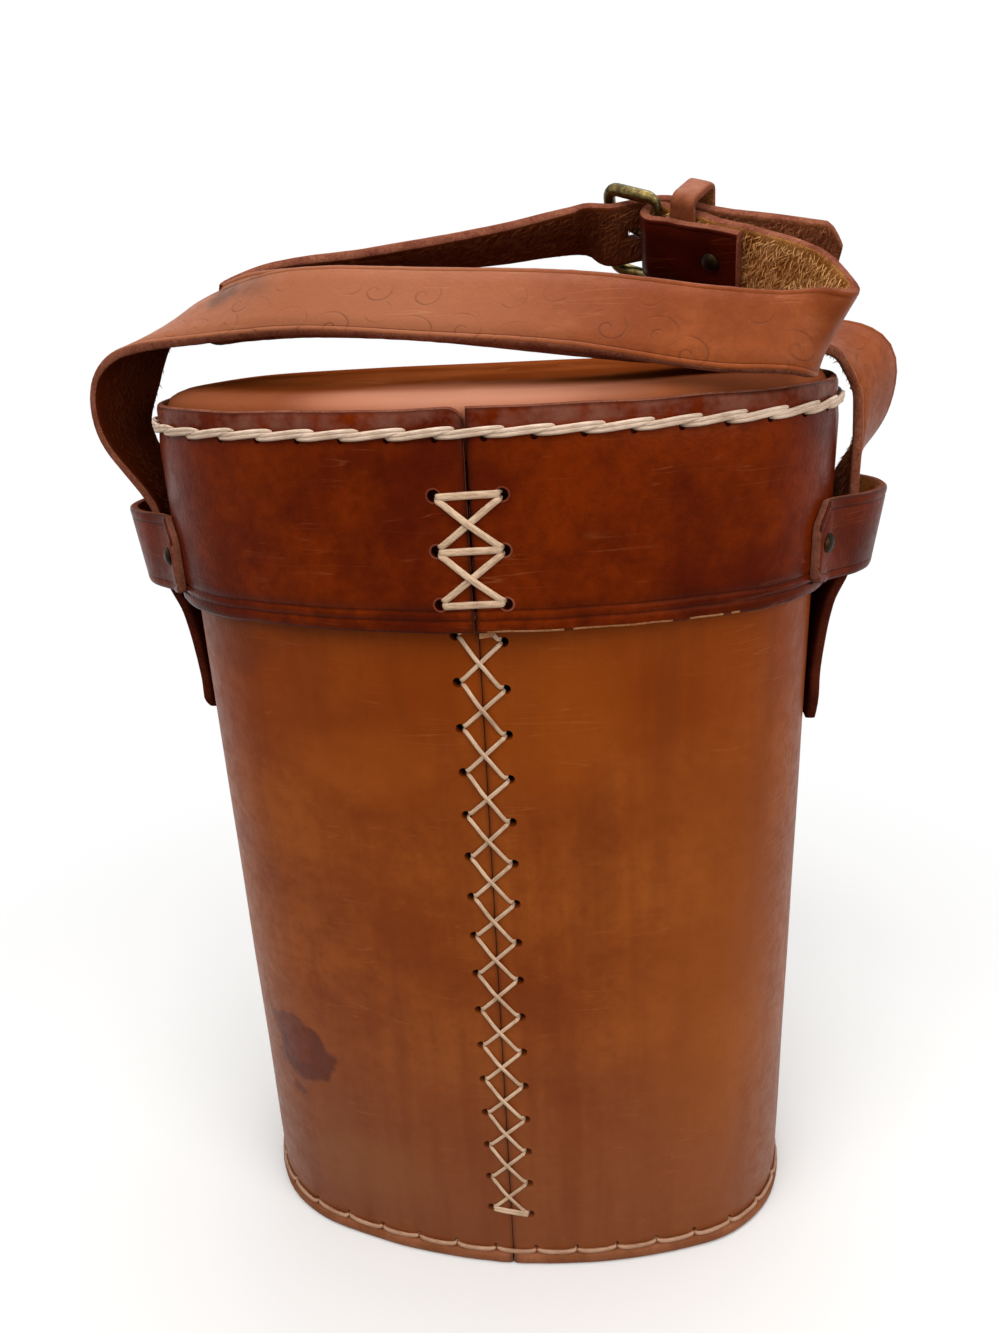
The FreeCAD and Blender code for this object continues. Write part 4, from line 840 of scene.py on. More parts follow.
def buildTop():
    length = ovalLength(lidOval)
    places = [length * i / lidTop["steps"] for i in range(lidTop["steps"])]
    highlightRows = {3: 0.4, 4: 0.8, 5: 0.8, 6: 0.8, 7: 0.4}  # rows of the crown that carry a pale painted highlight

    def profile(s):
        shape = list(hollow)
        for out, z in crown:
            wave = lidTop["wave"] * ripple(s, out * 1.5, lidTop["waveLength"], 9.3)
            shape.append((out, z + (wave - lidTop["sag"] if -40 < out < -3 else 0)))
        return shape

    def rims(i, j):
        highlightShare = max(0.2, 1 - (ovalPoint(lidOval, places[i])[0] / lidTop["highlightHalf"]) ** 2)  # less to the sides
        return highlightShare * highlightRows.get(j - len(hollow), 0.0)

    slots = [1] * len(hollow) + [0] * len(crown)
    top = sweep("lidTop", ovalRings(lidOval, places, profile), [topLeather, innerFlesh], loop=True, tube=False,
                slots=slots, rims=rims)
    place(top, "lid", "lid_top_leather", "lid_top")


# a raw corner of the lid's leather that hangs out under its seam
def buildSeamTab():
    rows = [(1.7, 254.5), (1.9, 251.0), (2.0, 249.9), (2.1, 249.0)]  # half width, height
    section = [(-1, -60.2), (-0.4, -60.4), (0.3, -60.3), (1, -60.1), (1, -58.7), (0.2, -58.8), (-1, -58.7)]
    rings = []
    for half, z in rows:
        drop = 0.5 * (254.5 - z) / 6.5
        rings.append([Vector((2.6 + half * f, y - drop, z + 0.3 * f)) * mm for f, y in section])
    place(sweep("seamTab", rings, [rawTan]), "lid", "lid_leather")


buildBand()
buildTop()
buildSeamTab()
print("lid made")


# threads and laces: a flat oval section along a smooth line

def smoothLine(points, steps):
    line = [points[0]]
    last = len(points) - 1
    for i in range(last):
        before, start = points[max(i - 1, 0)], points[i]
        end, after = points[i + 1], points[min(i + 2, last)]
        for step in range(1, steps + 1):
            t = step / steps
            line.append(0.5 * (2 * start + (end - before) * t + (2 * before - 5 * start + 4 * end - after) * t ** 2
                               + (3 * start - before - 3 * end + after) * t ** 3))
    return line


def heading(line, i):
    return (line[min(i + 1, len(line) - 1)] - line[max(i - 1, 0)]).normalized()


def strand(name, points, width, thick, mat, steps=5, taper=0):
    line = smoothLine([Vector(point) for point in points], steps)
    rings, along, last = [], [0.0], len(line) - 1
    for i, point in enumerate(line):
        ahead = heading(line, i)
        flat = ahead.cross(Vector((0, -1, 0))).normalized()
        up = flat.cross(ahead).normalized()
        size = 1 - taper * abs(2 * i / last - 1) ** 3
        rings.append([(point + flat * (width / 2 * size * c) + up * (thick / 2 * size * s)) * mm
                      for c, s in circle(10)])
        if i:
            along.append(along[-1] + (point - line[i - 1]).length / 2)
    return sweep(name, rings, [mat], along=along + along[-1:], crease=80)


def joinMeshes(name, objects):
    work = bmesh.new()
    mats = []
    for obj in objects:
        for mat in obj.data.materials:
            if mat not in mats:
                mats.append(mat)
        start = len(work.faces)
        work.from_mesh(obj.data)
        work.faces.ensure_lookup_table()
        for face in work.faces[start:]:
            face.material_index = mats.index(obj.data.materials[face.material_index])
        bpy.data.objects.remove(obj)
    joined = linkMesh(name, [], [], mats)
    work.to_mesh(joined.data)
    work.free()
    return joined


# lace up the case: a cross and the bar behind it, the same at every row, one strand humped over the other
def buildCaseLace():
    pitch, low, width, thick = (caseLace[key] for key in ("pitch", "stagger", "width", "thick"))
    half = caseLace["half"] - caseLace["inset"]
    skin, inside = -caseOval[1] - 0.45, -caseOval[1] + caseWall["thick"] + 0.8
    under = [(-half - 0.2, -55.5, 0.6), (-half, skin + 0.6, 0.8), (-half + 0.9, skin, 1.5),
             (0, skin - 0.05, (pitch - low) / 2), (half - 0.9, skin, pitch - low - 1.5),
             (half, skin + 0.6, pitch - low - 0.8), (half + 0.2, -55.5, pitch - low - 0.6)]
    over = [(half + 0.2, -55.5, 0.6 - low), (half, skin + 0.6, 0.8 - low), (half - 0.9, skin, 1.5 - low),
            (1.4, skin - 0.7, (pitch - low) / 2 - 1.83), (-1.4, skin - 0.7, (pitch - low) / 2 + 1.83),
            (-half + 0.9, skin, pitch - 1.5), (-half, skin + 0.6, pitch - 0.8), (-half - 0.2, -55.5, pitch - 0.6)]
    behind = [(-half, -56, 0), (-half + 0.4, inside - 0.4, 0), (-half + 1.6, inside, -0.2),
              (half - 1.6, inside, 0.2 - low), (half - 0.4, inside - 0.4, -low), (half, -56, -low)]
    strands = [strand(name, line, width, thick, creamLace)
               for name, line in (("under", under), ("over", over), ("behind", behind))]
    rows = spread("caseLaceRows", rowCopies, [], joinMeshes("laceRow", strands), {
        "Count": caseLace["rows"] - 1, "Pitch": pitch * mm, "Sway": caseLace["sway"], "Seed": 3,
        "Material": creamLace})
    top = [(x, y, z + pitch * (caseLace["rows"] - 1)) for x, y, z in behind]
    ties = [strand("behind", top, width, thick, creamLace)]
    for z in (-0.65, 0.5):  # the lace starts with a doubled bar
        tie = [(-half - 0.2, -55.5, z), (-half, skin + 0.4, z), (-half + 1.2, skin - 0.1, z - 0.3),
               (half - 1.2, skin - 0.1, z - low + 0.4), (half, skin + 0.4, z - low + 0.2),
               (half + 0.2, -55.5, z - low)]
        ties.append(strand("tie", tie, width, thick, creamLace))
    lace = joinMeshes("caseSeamLace", [rows] + ties)
    lace.data.transform(Matrix.Translation((0, 0, caseLace["first"] * mm)))
    finishMesh(lace, 80)
    place(lace, "case", "lace", "case_seam_lace")


# lace on the lid: wider and flat, a bar at every row and a cross between rows
def buildLidLace():
    pitch, width, thick = lidLace["pitch"], lidLace["width"], lidLace["thick"]
    half = lidLace["half"] - lidLace["inset"]
    skin = -lidOuter[1] - 0.45
    taper = lidLace["taper"]
    bar = [(-half - 0.2, -61.5, -0.3), (-half, skin + 0.5, -0.3), (-half + 1.6, skin, -0.2), (0, skin - 0.1, 0.1),
           (half - 1.6, skin, 0.3), (half, skin + 0.5, 0.4), (half + 0.2, -61.5, 0.4)]
    strands = [strand("bar", bar, width, thick, creamLace, taper=taper)]
    for side, hump in ((-1, 0.3), (1, 0.95)):
        cross = [(side * (half + 0.2), -61.5, 1.0), (side * half, skin + 0.4, 1.2),
                 (side * (half - 1.8), skin - 0.1, 2.4), (side * 1.6, skin - hump, pitch / 2 - 1.27),
                 (-side * 1.6, skin - hump, pitch / 2 + 1.27), (-side * (half - 1.8), skin - 0.1, pitch - 2.4),
                 (-side * half, skin + 0.4, pitch - 1.2), (-side * (half + 0.2), -61.5, pitch - 1.0)]
        strands.append(strand("cross", cross, width * 0.95, thick, creamLace, taper=taper))
    rows = spread("lidLaceRows", rowCopies, [], joinMeshes("laceRow", strands), {
        "Count": lidLace["rows"] - 1, "Pitch": pitch * mm, "Material": creamLace})
    top = [(x, y, z + pitch * (lidLace["rows"] - 1)) for x, y, z in bar]
    last = strand("bar", top, width, thick, creamLace, taper=taper)
    lace = joinMeshes("lidSeamLace", [rows, last])
    lace.data.transform(Matrix.Translation((0, 0, lidLace["first"] * mm)))
    finishMesh(lace, 80)
    place(lace, "lid", "lace", "lid_seam_lace")


# stitches: a doubled thread in long strands that overlap round the lid, short sunken ones at the foot
def outline(oval, out, height):
    length = ovalLength(oval)
    points = []
    for i in range(outlinePoints):
        x, y, nx, ny = ovalPoint(oval, length * (i + 0.5) / outlinePoints)
        points.append(Vector((x + nx * out, y + ny * out, height)) * mm)
    return points


def buildStitches():
    reach, slant = lidStitch["reach"], lidStitch["slant"]
    plies = []
    for ply, early in ((-lidStitch["ply"], 0.96), (lidStitch["ply"], 1.0)):
        line = [(-reach * early, 1.9, -slant - 0.5), (-reach * early * 0.92, 0.5, -slant + 0.6 * ply),
                (-reach * 0.5, -0.1, -0.6 * slant + ply), (0, -0.3, ply), (reach * 0.5, -0.15, 0.6 * slant + ply),
                (reach * early * 0.92, 0.3, slant + 0.6 * ply), (reach * early, 1.9, slant - 0.3)]
        plies.append(strand("ply", line, lidStitch["width"], lidStitch["thick"], creamThread, 4,
                            lidStitch["taper"]))
    path = outline(lidOuter, 0.25, lidStitch["height"])
    ring = spread("lidTopStitching", pathCopies, path, joinMeshes("stitch", plies), {
        "Count": lidStitch["count"], "Sway": lidStitch["sway"], "Seed": 11, "Material": creamThread})
    place(ring, "lid", "thread", "lid_top_stitching")

    reach = footStitch["reach"]
    line = [(-reach, 2.0, 0.5), (-reach * 0.92, 0.4, 0.35), (-reach * 0.5, -0.1, 0.05), (0, -0.2, 0),
            (reach * 0.5, -0.1, 0.05), (reach * 0.92, 0.4, 0.35), (reach, 2.0, 0.5)]
    short = strand("stitch", line, footStitch["width"], footStitch["thick"], soiledThread, 4, footStitch["taper"])
    path = outline(caseOval, 0.45, footStitch["height"])
    ring = spread("baseStitching", pathCopies, path, short, {
        "Count": footStitch["count"], "Sway": footStitch["sway"], "Seed": 5, "Material": soiledThread})
    place(ring, "case", "thread", "base_stitching")


buildCaseLace()
buildLidLace()
buildStitches()
print("laces and stitches made")

# straps: the stations of the solids, drawn in a little: centre, direction across and share of the width
strap = {"width": 26.0, "thick": 3.2, "gap": 0.4, "standoff": 3.1, "step": 2.5}
lidSide, lidFront, lidCrest = lidOuter[0], lidOuter[1], 317.8
loopSpan = (254.3, 279.3)
tails = {"end": 205.3, "share": 0.88, "tip": 7.5, "rightMore": 2.5, "rivet": 213.3}
strapSide = lidSide + strap["standoff"] + strap["thick"] / 2
buckleRoute = [
    ((-1.14, -0.02, -0.58), (0.20, 1.00, 0.05), 1.0), ((-1.10, -0.05, 0.08), (0.55, 0.85, 0.15), 1.0),
    ((-0.98, -0.13, 0.54), (0.45, 0.85, 0.30), 0.98), ((-0.74, -0.30, 0.79), (0.10, 0.80, 0.56), 0.90),
    ((-0.46, -0.53, 0.90), (0.00, 0.66, 0.75), 0.84), ((-0.11, -0.64, 0.81), (0.00, 0.62, 0.78), 0.86),
    ((0.27, -0.71, 0.68), (0.03, 0.58, 0.81), 0.89), ((0.61, -0.76, 0.45), (0.08, 0.45, 0.88), 0.87),
    ((0.79, -0.74, 0.38), (0.10, 0.45, 0.84), 0.86), ((0.88, -0.67, 0.36), (0.40, 0.00, 0.84), 0.86),
    ((0.91, -0.53, 0.46), (0.34, -0.40, 0.80), 0.86), ((0.862, -0.33, 0.79), (0.24, -0.55, 0.79), 0.85)]
billetRoute = [
    ((1.10, 0.00, -0.66), (0.65, 1.00, 0.20), 1.0), ((1.09, 0.00, -0.13), (0.70, 1.00, 0.60), 1.0),
    ((0.96, -0.04, 0.18), (0.25, 1.00, 0.28), 0.98), ((0.78, -0.20, 0.18), (0.30, 1.00, 0.08), 0.95),
    ((0.53, -0.43, 0.30), (0.15, 0.95, 0.25), 0.90), ((0.27, -0.57, 0.55), (0.03, 0.70, 0.71), 0.84),
    ((-0.11, -0.54, 0.78), (0.00, 0.62, 0.78), 0.83), ((-0.43, -0.39, 0.87), (0.00, 0.58, 0.81), 0.83),
    ((-0.65, -0.20, 0.86), (0.20, 0.36, 0.85), 0.82), ((-0.80, 0.02, 0.79), (0.40, 0.00, 0.85), 0.72),
    ((-0.66, 0.21, 1.08), (0.45, -0.65, 0.60), 0.84), ((-0.38, 0.30, 1.29), (0.20, -0.90, 0.26), 0.88),
    ((0.00, 0.31, 1.41), (0.00, -0.90, 0.40), 0.84)]
billetTip = [((0.78, -0.02, 1.23), (-0.05, -0.52, 0.84), 0.76), ((0.92, -0.06, 1.11), (0.00, -0.48, 0.86), 0.76)]

# buckle: X from the heel bar to the outer bar, Z along the bar, Y to the front
buckle = {"place": (0.497, 0.132, 1.36), "heading": (-0.78, 0.52, 0.26), "lean": (0.22, -0.70, 0.72), "bar": 2.0,
          "length": 18.0, "sideGap": 1.2, "neck": 0.76, "fold": 29.0, "rivet": 20.5, "keeperNear": -12.6,
          "keeperFar": -4.6, "keeperThick": 2.0, "keeperRise": 3.5, "headHeight": 1.6, "headRadius": 3.6,
          "widths": (0.79, 0.80, 0.82),  # the fold's width shares at the keeper, the rivet and its end
          "strapSlot": (-1.8, 7.2, 2.2, -11, 1.2), "billetSlot": (0, 12.6, 1.8, -11, 11),  # as cutSlot takes them
          "heel": 1.3, "frameCorner": 3.2, "keeperCorner": 2.2, "capShare": 0.84}
alongBuckle = Vector(buckle["heading"]).normalized()
barAxis = Vector(buckle["lean"])
barAxis = (barAxis - alongBuckle * barAxis.dot(alongBuckle)).normalized()
frontOfBuckle = barAxis.cross(alongBuckle)


def onLid(share):
    return Vector((share[0] * lidSide, share[1] * lidFront, lidCrest + share[2] * strap["width"]))


bucklePlace = onLid(buckle["place"])
foldSide = (strap["thick"] + strap["gap"]) / 2
keeperSide = buckle["keeperThick"] / 2 + strap["gap"] + strap["thick"] / 2
barSide = buckle["bar"] + strap["gap"] + strap["thick"] / 2
billetSide = foldSide + strap["thick"] + strap["gap"] + 0.2 + buckle["headHeight"] + strap["gap"]
billetBarSide = barSide + strap["thick"] + 2 * strap["gap"]
outerBarSide = barSide + strap["gap"]


def atBuckle(x, y, z=0):
    return bucklePlace + alongBuckle * x + frontOfBuckle * y + barAxis * z


def station(centre, across, share):
    return list(centre) + list(across) + [share * strap["width"]]


def buckleStation(x, y, share):
    return station(atBuckle(x, y), barAxis, share)


def lidStations(route):
    return [station(onLid(share), across, width) for share, across, width in route]


def mixRows(first, second, a, b):
    return [a * x + b * y for x, y in zip(first, second)]


def smoothStations(stations, step):
    centres = [Vector(row[:3]) for row in stations]
    spans = [(b - a).length for a, b in zip(centres, centres[1:])]
    last = len(stations) - 1
    slopes = []
    for i in range(last + 1):
        low, high = max(i - 1, 0), min(i + 1, last)
        reach = sum(spans[low:high])
        slopes.append(mixRows(stations[high], stations[low], 1 / reach, -1 / reach))
    rows = [stations[0]]
    for i, span in enumerate(spans):
        steps = max(3, math.ceil(span / step))
        for k in range(1, steps + 1):
            s = k / steps
            rise = 3 * s ** 2 - 2 * s ** 3
            ends = mixRows(stations[i], stations[i + 1], 1 - rise, rise)
            pulls = mixRows(slopes[i], slopes[i + 1], s ** 3 - 2 * s ** 2 + s, s ** 3 - s ** 2)
            rows.append(mixRows(ends, pulls, 1, span))
    return rows


# section of a strap, across from -1 to 1: rounded cut edges, a crease inside each edge on the grain side
strapAcross = [-0.98, -0.95, -0.92, -0.88, -0.86, -0.84, -0.5, -0.2, 0.2, 0.5, 0.84, 0.86, 0.88, 0.92, 0.95, 0.98]
fleshAcross = [-0.98, -0.92, -0.86, -0.7, -0.35, 0.0, 0.35, 0.7, 0.86, 0.92, 0.97]
creases = {-0.86: 0.26, 0.86: 0.14}


def buildStrap(name, stations, grain, tip=0, tipShare=1, mats=None, seed=1.0):
    rows = smoothStations(stations, strap["step"])
    if tip:
        end, before = rows[-1], rows[-2]
        ahead = (Vector(end[:3]) - Vector(before[:3])).normalized()
        for share in (0.35, 0.7, 0.92, 1.0):
            width = end[6] * (1 - (1 - tipShare) * share ** 1.5)
            rows.append(list(Vector(end[:3]) + ahead * tip * share) + end[3:6] + [width])
    rings, along = [], [0.0]
    half = strap["thick"] / 2
    centres = [Vector(row[:3]) for row in rows]
    for i, (row, centre) in enumerate(zip(rows, centres)):
        ahead = heading(centres, i)
        across = Vector(row[3:6])
        across = (across - ahead * across.dot(ahead)).normalized()
        up = ahead.cross(across).normalized() * grain
        if i:
            along.append(along[-1] + (centre - centres[i - 1]).length / strap["width"])
        run = along[-1] * strap["width"]
        wide = row[6] / 2 + 0.12 * ripple(run, 0, 3.0, seed)
        ring = []
        for t in strapAcross:
            lift = half - creases.get(t, 0) - (0.35 if abs(t) > 0.96 else 0.08 if abs(t) > 0.93 else 0)
            ring.append(centre + across * (t * wide) + up * (lift + 0.12 * ripple(run, t * 12, 9, seed + 3)))
        ring += [centre + across * wide + up * (half * f) for f in (0.45, -0.45)]
        for t in reversed(fleshAcross):
            lift = half - (0.35 if abs(t) > 0.95 else 0)
            ring.append(centre + across * (t * wide) - up * (lift + 0.1 * ripple(run, t * 12, 4, seed + 7)))
        ring += [centre - across * wide + up * (half * f) for f in (-0.45, 0.45)]
        rings.append([point * mm for point in ring])
    top, under = len(strapAcross), len(fleshAcross)
    slots = [0] * (top - 1) + [2] * 3 + [1] * (under - 1) + [2] * 3  # grain, edge, flesh, edge
    uvAcross = [(t + 1) / 2 for t in strapAcross + [1, 1] + fleshAcross[::-1]] + [0, 0, 0]

    def rims(i, j):
        t = strapAcross[j] if j < top else 0
        return 0.45 if abs(t) > 0.96 else 2 * creases.get(t, 0)

    return sweep(name, rings, mats or [strapLeather, fleshSide, cutEdge], slots=slots, across=uvAcross, along=along,
                 rims=rims, crease=60)


def loopStations(side):
    middle = sum(loopSpan) / 2
    return [station((side * strapSide, 0, z), (0, 1, 0), 1) for z in (middle + strap["gap"] / 2, loopSpan[1])]


def cutSlot(obj, near, far, half, rear, front):
    verts = [atBuckle(x, y, z) * mm for x in (near, far) for y in (rear, front) for z in (-half, half)]
    faces = [(0, 1, 3, 2), (4, 6, 7, 5), (0, 4, 5, 1), (2, 3, 7, 6), (0, 2, 6, 4), (1, 5, 7, 3)]
    cutter = linkMesh("slot", verts, faces, [])
    finishMesh(cutter)
    subtract(obj, cutter, 60)


# the end turned back round the bar gets dark leather on its grain side: painted shade
def paintFoldShade(obj):
    for polygon in obj.data.polygons:
        away = Vector(polygon.center) / mm - bucklePlace
        near = away.dot(alongBuckle) > -buckle["fold"] - 1 and away.length < buckle["fold"] + 8
        if polygon.material_index == 0 and near:
            polygon.material_index = 3


def addNap(name, source, body, mat):
    size, half = nap["length"], nap["width"] / 2
    corners = ((-1, -0.4), (1, -0.4), (0, 0.9))
    rings = [[Vector((size * t, y * half * wide, size * rise + z * half * wide)) * mm for y, z in corners]
             for t, rise, wide in ((0, -0.08, 0.8), (0.45, 0.12, 1.0), (1.0, 0.2, 0.15))]
    fibre = sweep("fibre", rings, [mat])
    fuzz = bpy.data.objects.new(name, source.data.copy())
    scene.collection.objects.link(fuzz)
    fillCopies(fuzz, napCopies, fibre, {"Density": nap["density"], "Seed": nap["seed"], "Material": mat})
    place(fuzz, body, "strap_leather")


def buildStraps():
    atKeeper, atRivet, atEnd = buckle["widths"]
    foldLine = [(-buckle["fold"], foldSide, atEnd), (-buckle["rivet"], foldSide, atRivet),
                (buckle["keeperNear"], keeperSide, atKeeper), (buckle["keeperFar"], keeperSide, buckle["neck"])]
    turns = [math.radians(turn) for turn in range(-90, 91, 30)]
    rows = loopStations(-1) + lidStations(buckleRoute)
    rows += [buckleStation(x, -y, share) for x, y, share in foldLine]
    rows += [buckleStation(barSide * math.cos(turn), barSide * math.sin(turn), buckle["neck"]) for turn in turns]
    rows += [buckleStation(x, y, share) for x, y, share in reversed(foldLine)]
    buckleStrap = buildStrap("buckleStrap", rows, 1, mats=[strapLeather, fleshSide, cutEdge, foldShadeLeather], seed=2.0)
    cutSlot(buckleStrap, *buckle["strapSlot"])
    paintFoldShade(buckleStrap)
    place(buckleStrap, "strap", "strap_leather", "buckle_strap")
    addNap("buckleStrapNap", buckleStrap, "strap", looseNap)

    crossing = math.asin((outerBarSide + billetBarSide) / buckle["length"])
    rows = loopStations(1) + lidStations(billetRoute)
    rows.append(station(atBuckle(1.45 * buckle["length"], 1.2 * outerBarSide), (0.0, -0.78, 0.62), buckle["neck"]))
    rows += [buckleStation(x, y, buckle["neck"]) for x, y in (
        (buckle["length"], outerBarSide),
        (buckle["length"] - outerBarSide * math.sin(crossing), outerBarSide * math.cos(crossing)),
        (billetBarSide * math.sin(crossing), -billetBarSide * math.cos(crossing)),
        (0, -billetBarSide), (buckle["keeperFar"], -billetBarSide),
        (buckle["keeperNear"], -billetSide), (-buckle["rivet"], -billetSide * 1.1))]
    rows += lidStations(billetTip)
    billet = buildStrap("billetStrap", rows, -1, tip=6, tipShare=0.35, mats=[strapLeather, shadedBilletFlesh, cutEdge],
                        seed=5.0)
    cutSlot(billet, *buckle["billetSlot"])
    place(billet, "strap", "strap_leather", "billet_strap")
    addNap("billetStrapNap", billet, "strap", billetNap)

    tailSide, tailEnd = caseOval[0] + strap["gap"] + strap["thick"] / 2, tails["end"]
    for side, name, node in ((-1, "leftStrapTail", "left_strap_tail"), (1, "rightStrapTail", "right_strap_tail")):
        rows = [station((side * x, 0, z), (0, 1, 0), tails["share"]) for x, z in (
            (strapSide, sum(loopSpan) / 2 - strap["gap"] / 2), (strapSide, loopSpan[0] + 1),
            (tailSide + 2.6, tailEnd + 37), (tailSide, tailEnd + 15), (tailSide, tailEnd + 5))]
        tip = tails["tip"] + tails["rightMore"] * side
        tail = buildStrap(name, rows, side, tip, 0.6, [darkLeather, tailEdge, tailEdge], 6.0 + side)
        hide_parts(node)
        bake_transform(tail)


buildStraps()
print("straps made")

# loops on the lid's ends: a band of leather bowed over the strap, its flanges riveted down
loop = {"thick": 2.8, "bow": 24.0, "slack": 0.8, "flange": 11.0, "seat": lidOuter[2] + 0.2, "rivetShare": 0.55,
        "corner": 6.5, "flare": 3.2}
lidEnd = lidOuter[0] - lidOuter[2]
bowCentre = strapSide + strap["thick"] / 2 + loop["slack"] - math.sqrt(loop["bow"] ** 2 - (strap["width"] / 2) ** 2)
meetX = (loop["seat"] ** 2 - loop["bow"] ** 2 + bowCentre ** 2 - lidEnd ** 2) / (2 * (bowCentre - lidEnd))
flangeStart = math.acos((meetX - lidEnd) / loop["seat"])
flangeTurn = loop["flange"] / loop["seat"]


def buildLoops():
    middle = loop["thick"] / 2
    bowStart = math.atan2(loop["seat"] * math.sin(flangeStart), meetX - bowCentre)
    half = [(lidEnd + (loop["seat"] + middle) * math.cos(a), (loop["seat"] + middle) * math.sin(a))
            for a in [flangeStart + flangeTurn * k / 4 for k in (4, 3, 2, 1)]]
    half += [(bowCentre + (loop["bow"] + middle) * math.cos(a), (loop["bow"] + middle) * math.sin(a))
             for a in [bowStart * k / 6 for k in (5, 4, 3, 2, 1)]]
    plan = half + [(bowCentre + loop["bow"] + middle, 0)] + [(x, -y) for x, y in reversed(half)]
    for side, name, node in ((1, "rightStrapLoop", "right_strap_loop"), (-1, "leftStrapLoop", "left_strap_loop")):
        line = smoothLine([Vector((side * x, y, 0)) for x, y in plan], 5)
        rings = []
        for i, point in enumerate(line):
            out = heading(line, i).cross(Vector((0, 0, 1))) * side
            out = -out if out.x * side < -0.2 or (abs(out.x) <= 0.2 and out.y * point.y < 0) else out
            end = min(i, len(line) - 1 - i)
            trim = max(0, 2 - end) * 0.7
            corner = loop["corner"] * max(0, 1 - end / 10)
            low, high = loopSpan[0] + trim + 0.2 * corner, loopSpan[1] - trim - corner
            section = [(-middle, low + 0.3), (-middle, high - 0.3), (-middle + 0.6, high), (middle - 0.8, high),
                       (middle - 0.2, high - 0.4), (middle, high - 1.2), (middle, high - 2.6),
                       (middle - 0.25, high - 3.0), (middle, high - 3.4), (middle, low + 3.4),
                       (middle - 0.25, low + 3.0), (middle, low + 2.6), (middle, low + 1.2),
                       (middle - 0.2, low + 0.4), (middle - 0.8, low), (-middle + 0.6, low)]
            flare = loop["flare"] * min(1, max(0, end - 18) / 22)
            rings.append([(point + out * (o + flare * (z - low) / (high - low)) + Vector((0, 0, z))) * mm
                          for o, z in section])
        slots = [1, 2, 2] + [0] * 10 + [2] * 3

        def rims(i, j):
            return 0.8 if j in (3, 4, 7, 10, 13, 14) else 0.0

        arch = sweep(name, rings, [darkLeather, fleshSide, dyedEdge], slots=slots, rims=rims, crease=60)
        place(arch, "lid", "loop_leather", node)


# rivets: a domed cap with a rolled lip
def buildRivets(name, body, spots, node):
    radius, height = buckle["headRadius"] * buckle["capShare"], buckle["headHeight"]
    profile = [(0.05, height), (radius * 0.35, height * 0.95), (radius * 0.65, height * 0.75),
               (radius * 0.88, height * 0.42), (radius, height * 0.16), (radius * 0.97, 0.0), (radius * 0.5, 0.0),
               (0.4, 0.0), (0.4, -1.5), (0.05, -1.5)]
    rings = [[Vector((r * c, r * s, z)) * mm for r, z in profile] for c, s in circle(20)]
    cap = sweep("cap", rings, [rivetMetal], loop=True, tube=False)
    rivets = spreadSpots(name, spots, cap, {"Material": rivetMetal})
    finishMesh(rivets)
    place(rivets, body, "rivet_metal", node)


def buildFixings():
    angle = flangeStart + flangeTurn * loop["rivetShare"]
    height = sum(loopSpan) / 2
    reach = loop["seat"] + loop["thick"]
    spots = []
    for side in (1, -1):
        for lean in (1, -1):
            out = Vector((side * math.cos(angle), lean * math.sin(angle), 0))
            spots.append((Vector((side * lidEnd, 0, height)) + out * reach, out))
    buildRivets("loopRivets", "lid", spots, "loop_rivets")
    tailFace = caseOval[0] + strap["gap"] + strap["thick"] + 0.2
    inner = caseOval[0] - caseWall["thick"] - 0.2
    spots = [(Vector((side * tailFace, 0, tails["rivet"])), Vector((side, 0, 0))) for side in (1, -1)]
    spots += [(Vector((side * inner, 0, tails["rivet"])), Vector((-side, 0, 0))) for side in (1, -1)]
    buildRivets("tailRivets", "case", spots, "tail_rivets")
    face = foldSide + strap["thick"] / 2 + strap["gap"] * 0.5
    spots = [(atBuckle(-buckle["rivet"], face), frontOfBuckle),
             (atBuckle(-buckle["rivet"], -face - 0.4), -frontOfBuckle)]
    buildRivets("foldRivet", "strap", spots, "fold_rivet")


# buckle: a rounded wire frame, a keeper of leather beside it and a prong that lies on the outer bar
def buildFrame(path, flat=0.95):
    rings, heel, bar = [], buckle["heel"], buckle["bar"] - 0.1
    side = Vector((0, 1, 0))
    for i, (x, y, z) in enumerate(path):
        radius = heel + (bar - heel) * min(1, max(0, x - 0.3) / 3)  # the heel bar inside the fold is thinner
        ahead = (Vector(path[(i + 1) % len(path)]) - Vector(path[i - 1])).normalized()
        out = ahead.cross(side).normalized()
        rings.append([atBuckle(*(Vector((x, y, z)) + out * (radius * c) + side * (radius * flat * s))) * mm
                      for c, s in circle(14)])
    ring = sweep("buckleFrame", rings, [buckleBrass], loop=True, crease=60)
    place(ring, "strap", "buckle_brass", "buckle_frame")


# points of a quarter turn, each with its direction from the centre
def cornerArc(x, z, radius, start, steps=5):
    angles = [math.radians(start + 90 * k / steps) for k in range(steps + 1)]
    return [(x + radius * math.cos(a), z + radius * math.sin(a), math.cos(a), math.sin(a)) for a in angles]


def framePath(near, far, half, corner):
    path = []
    inner = half - corner
    for x, z, start in ((far - corner, inner, 0), (near + corner, inner, 90), (near + corner, -inner, 180),
                        (far - corner, -inner, 270)):
        path += [(px, 0, pz) for px, pz, _, _ in cornerArc(x, z, corner, start)]
        sign = 1 if start < 180 else -1
        if start in (0, 180):
            path.append(((near + far) / 2, 0, z + corner * sign))
        else:
            path += [(near if start == 90 else far, 0, inner * f * sign) for f in (0.5, 0, -0.5)]
    return path


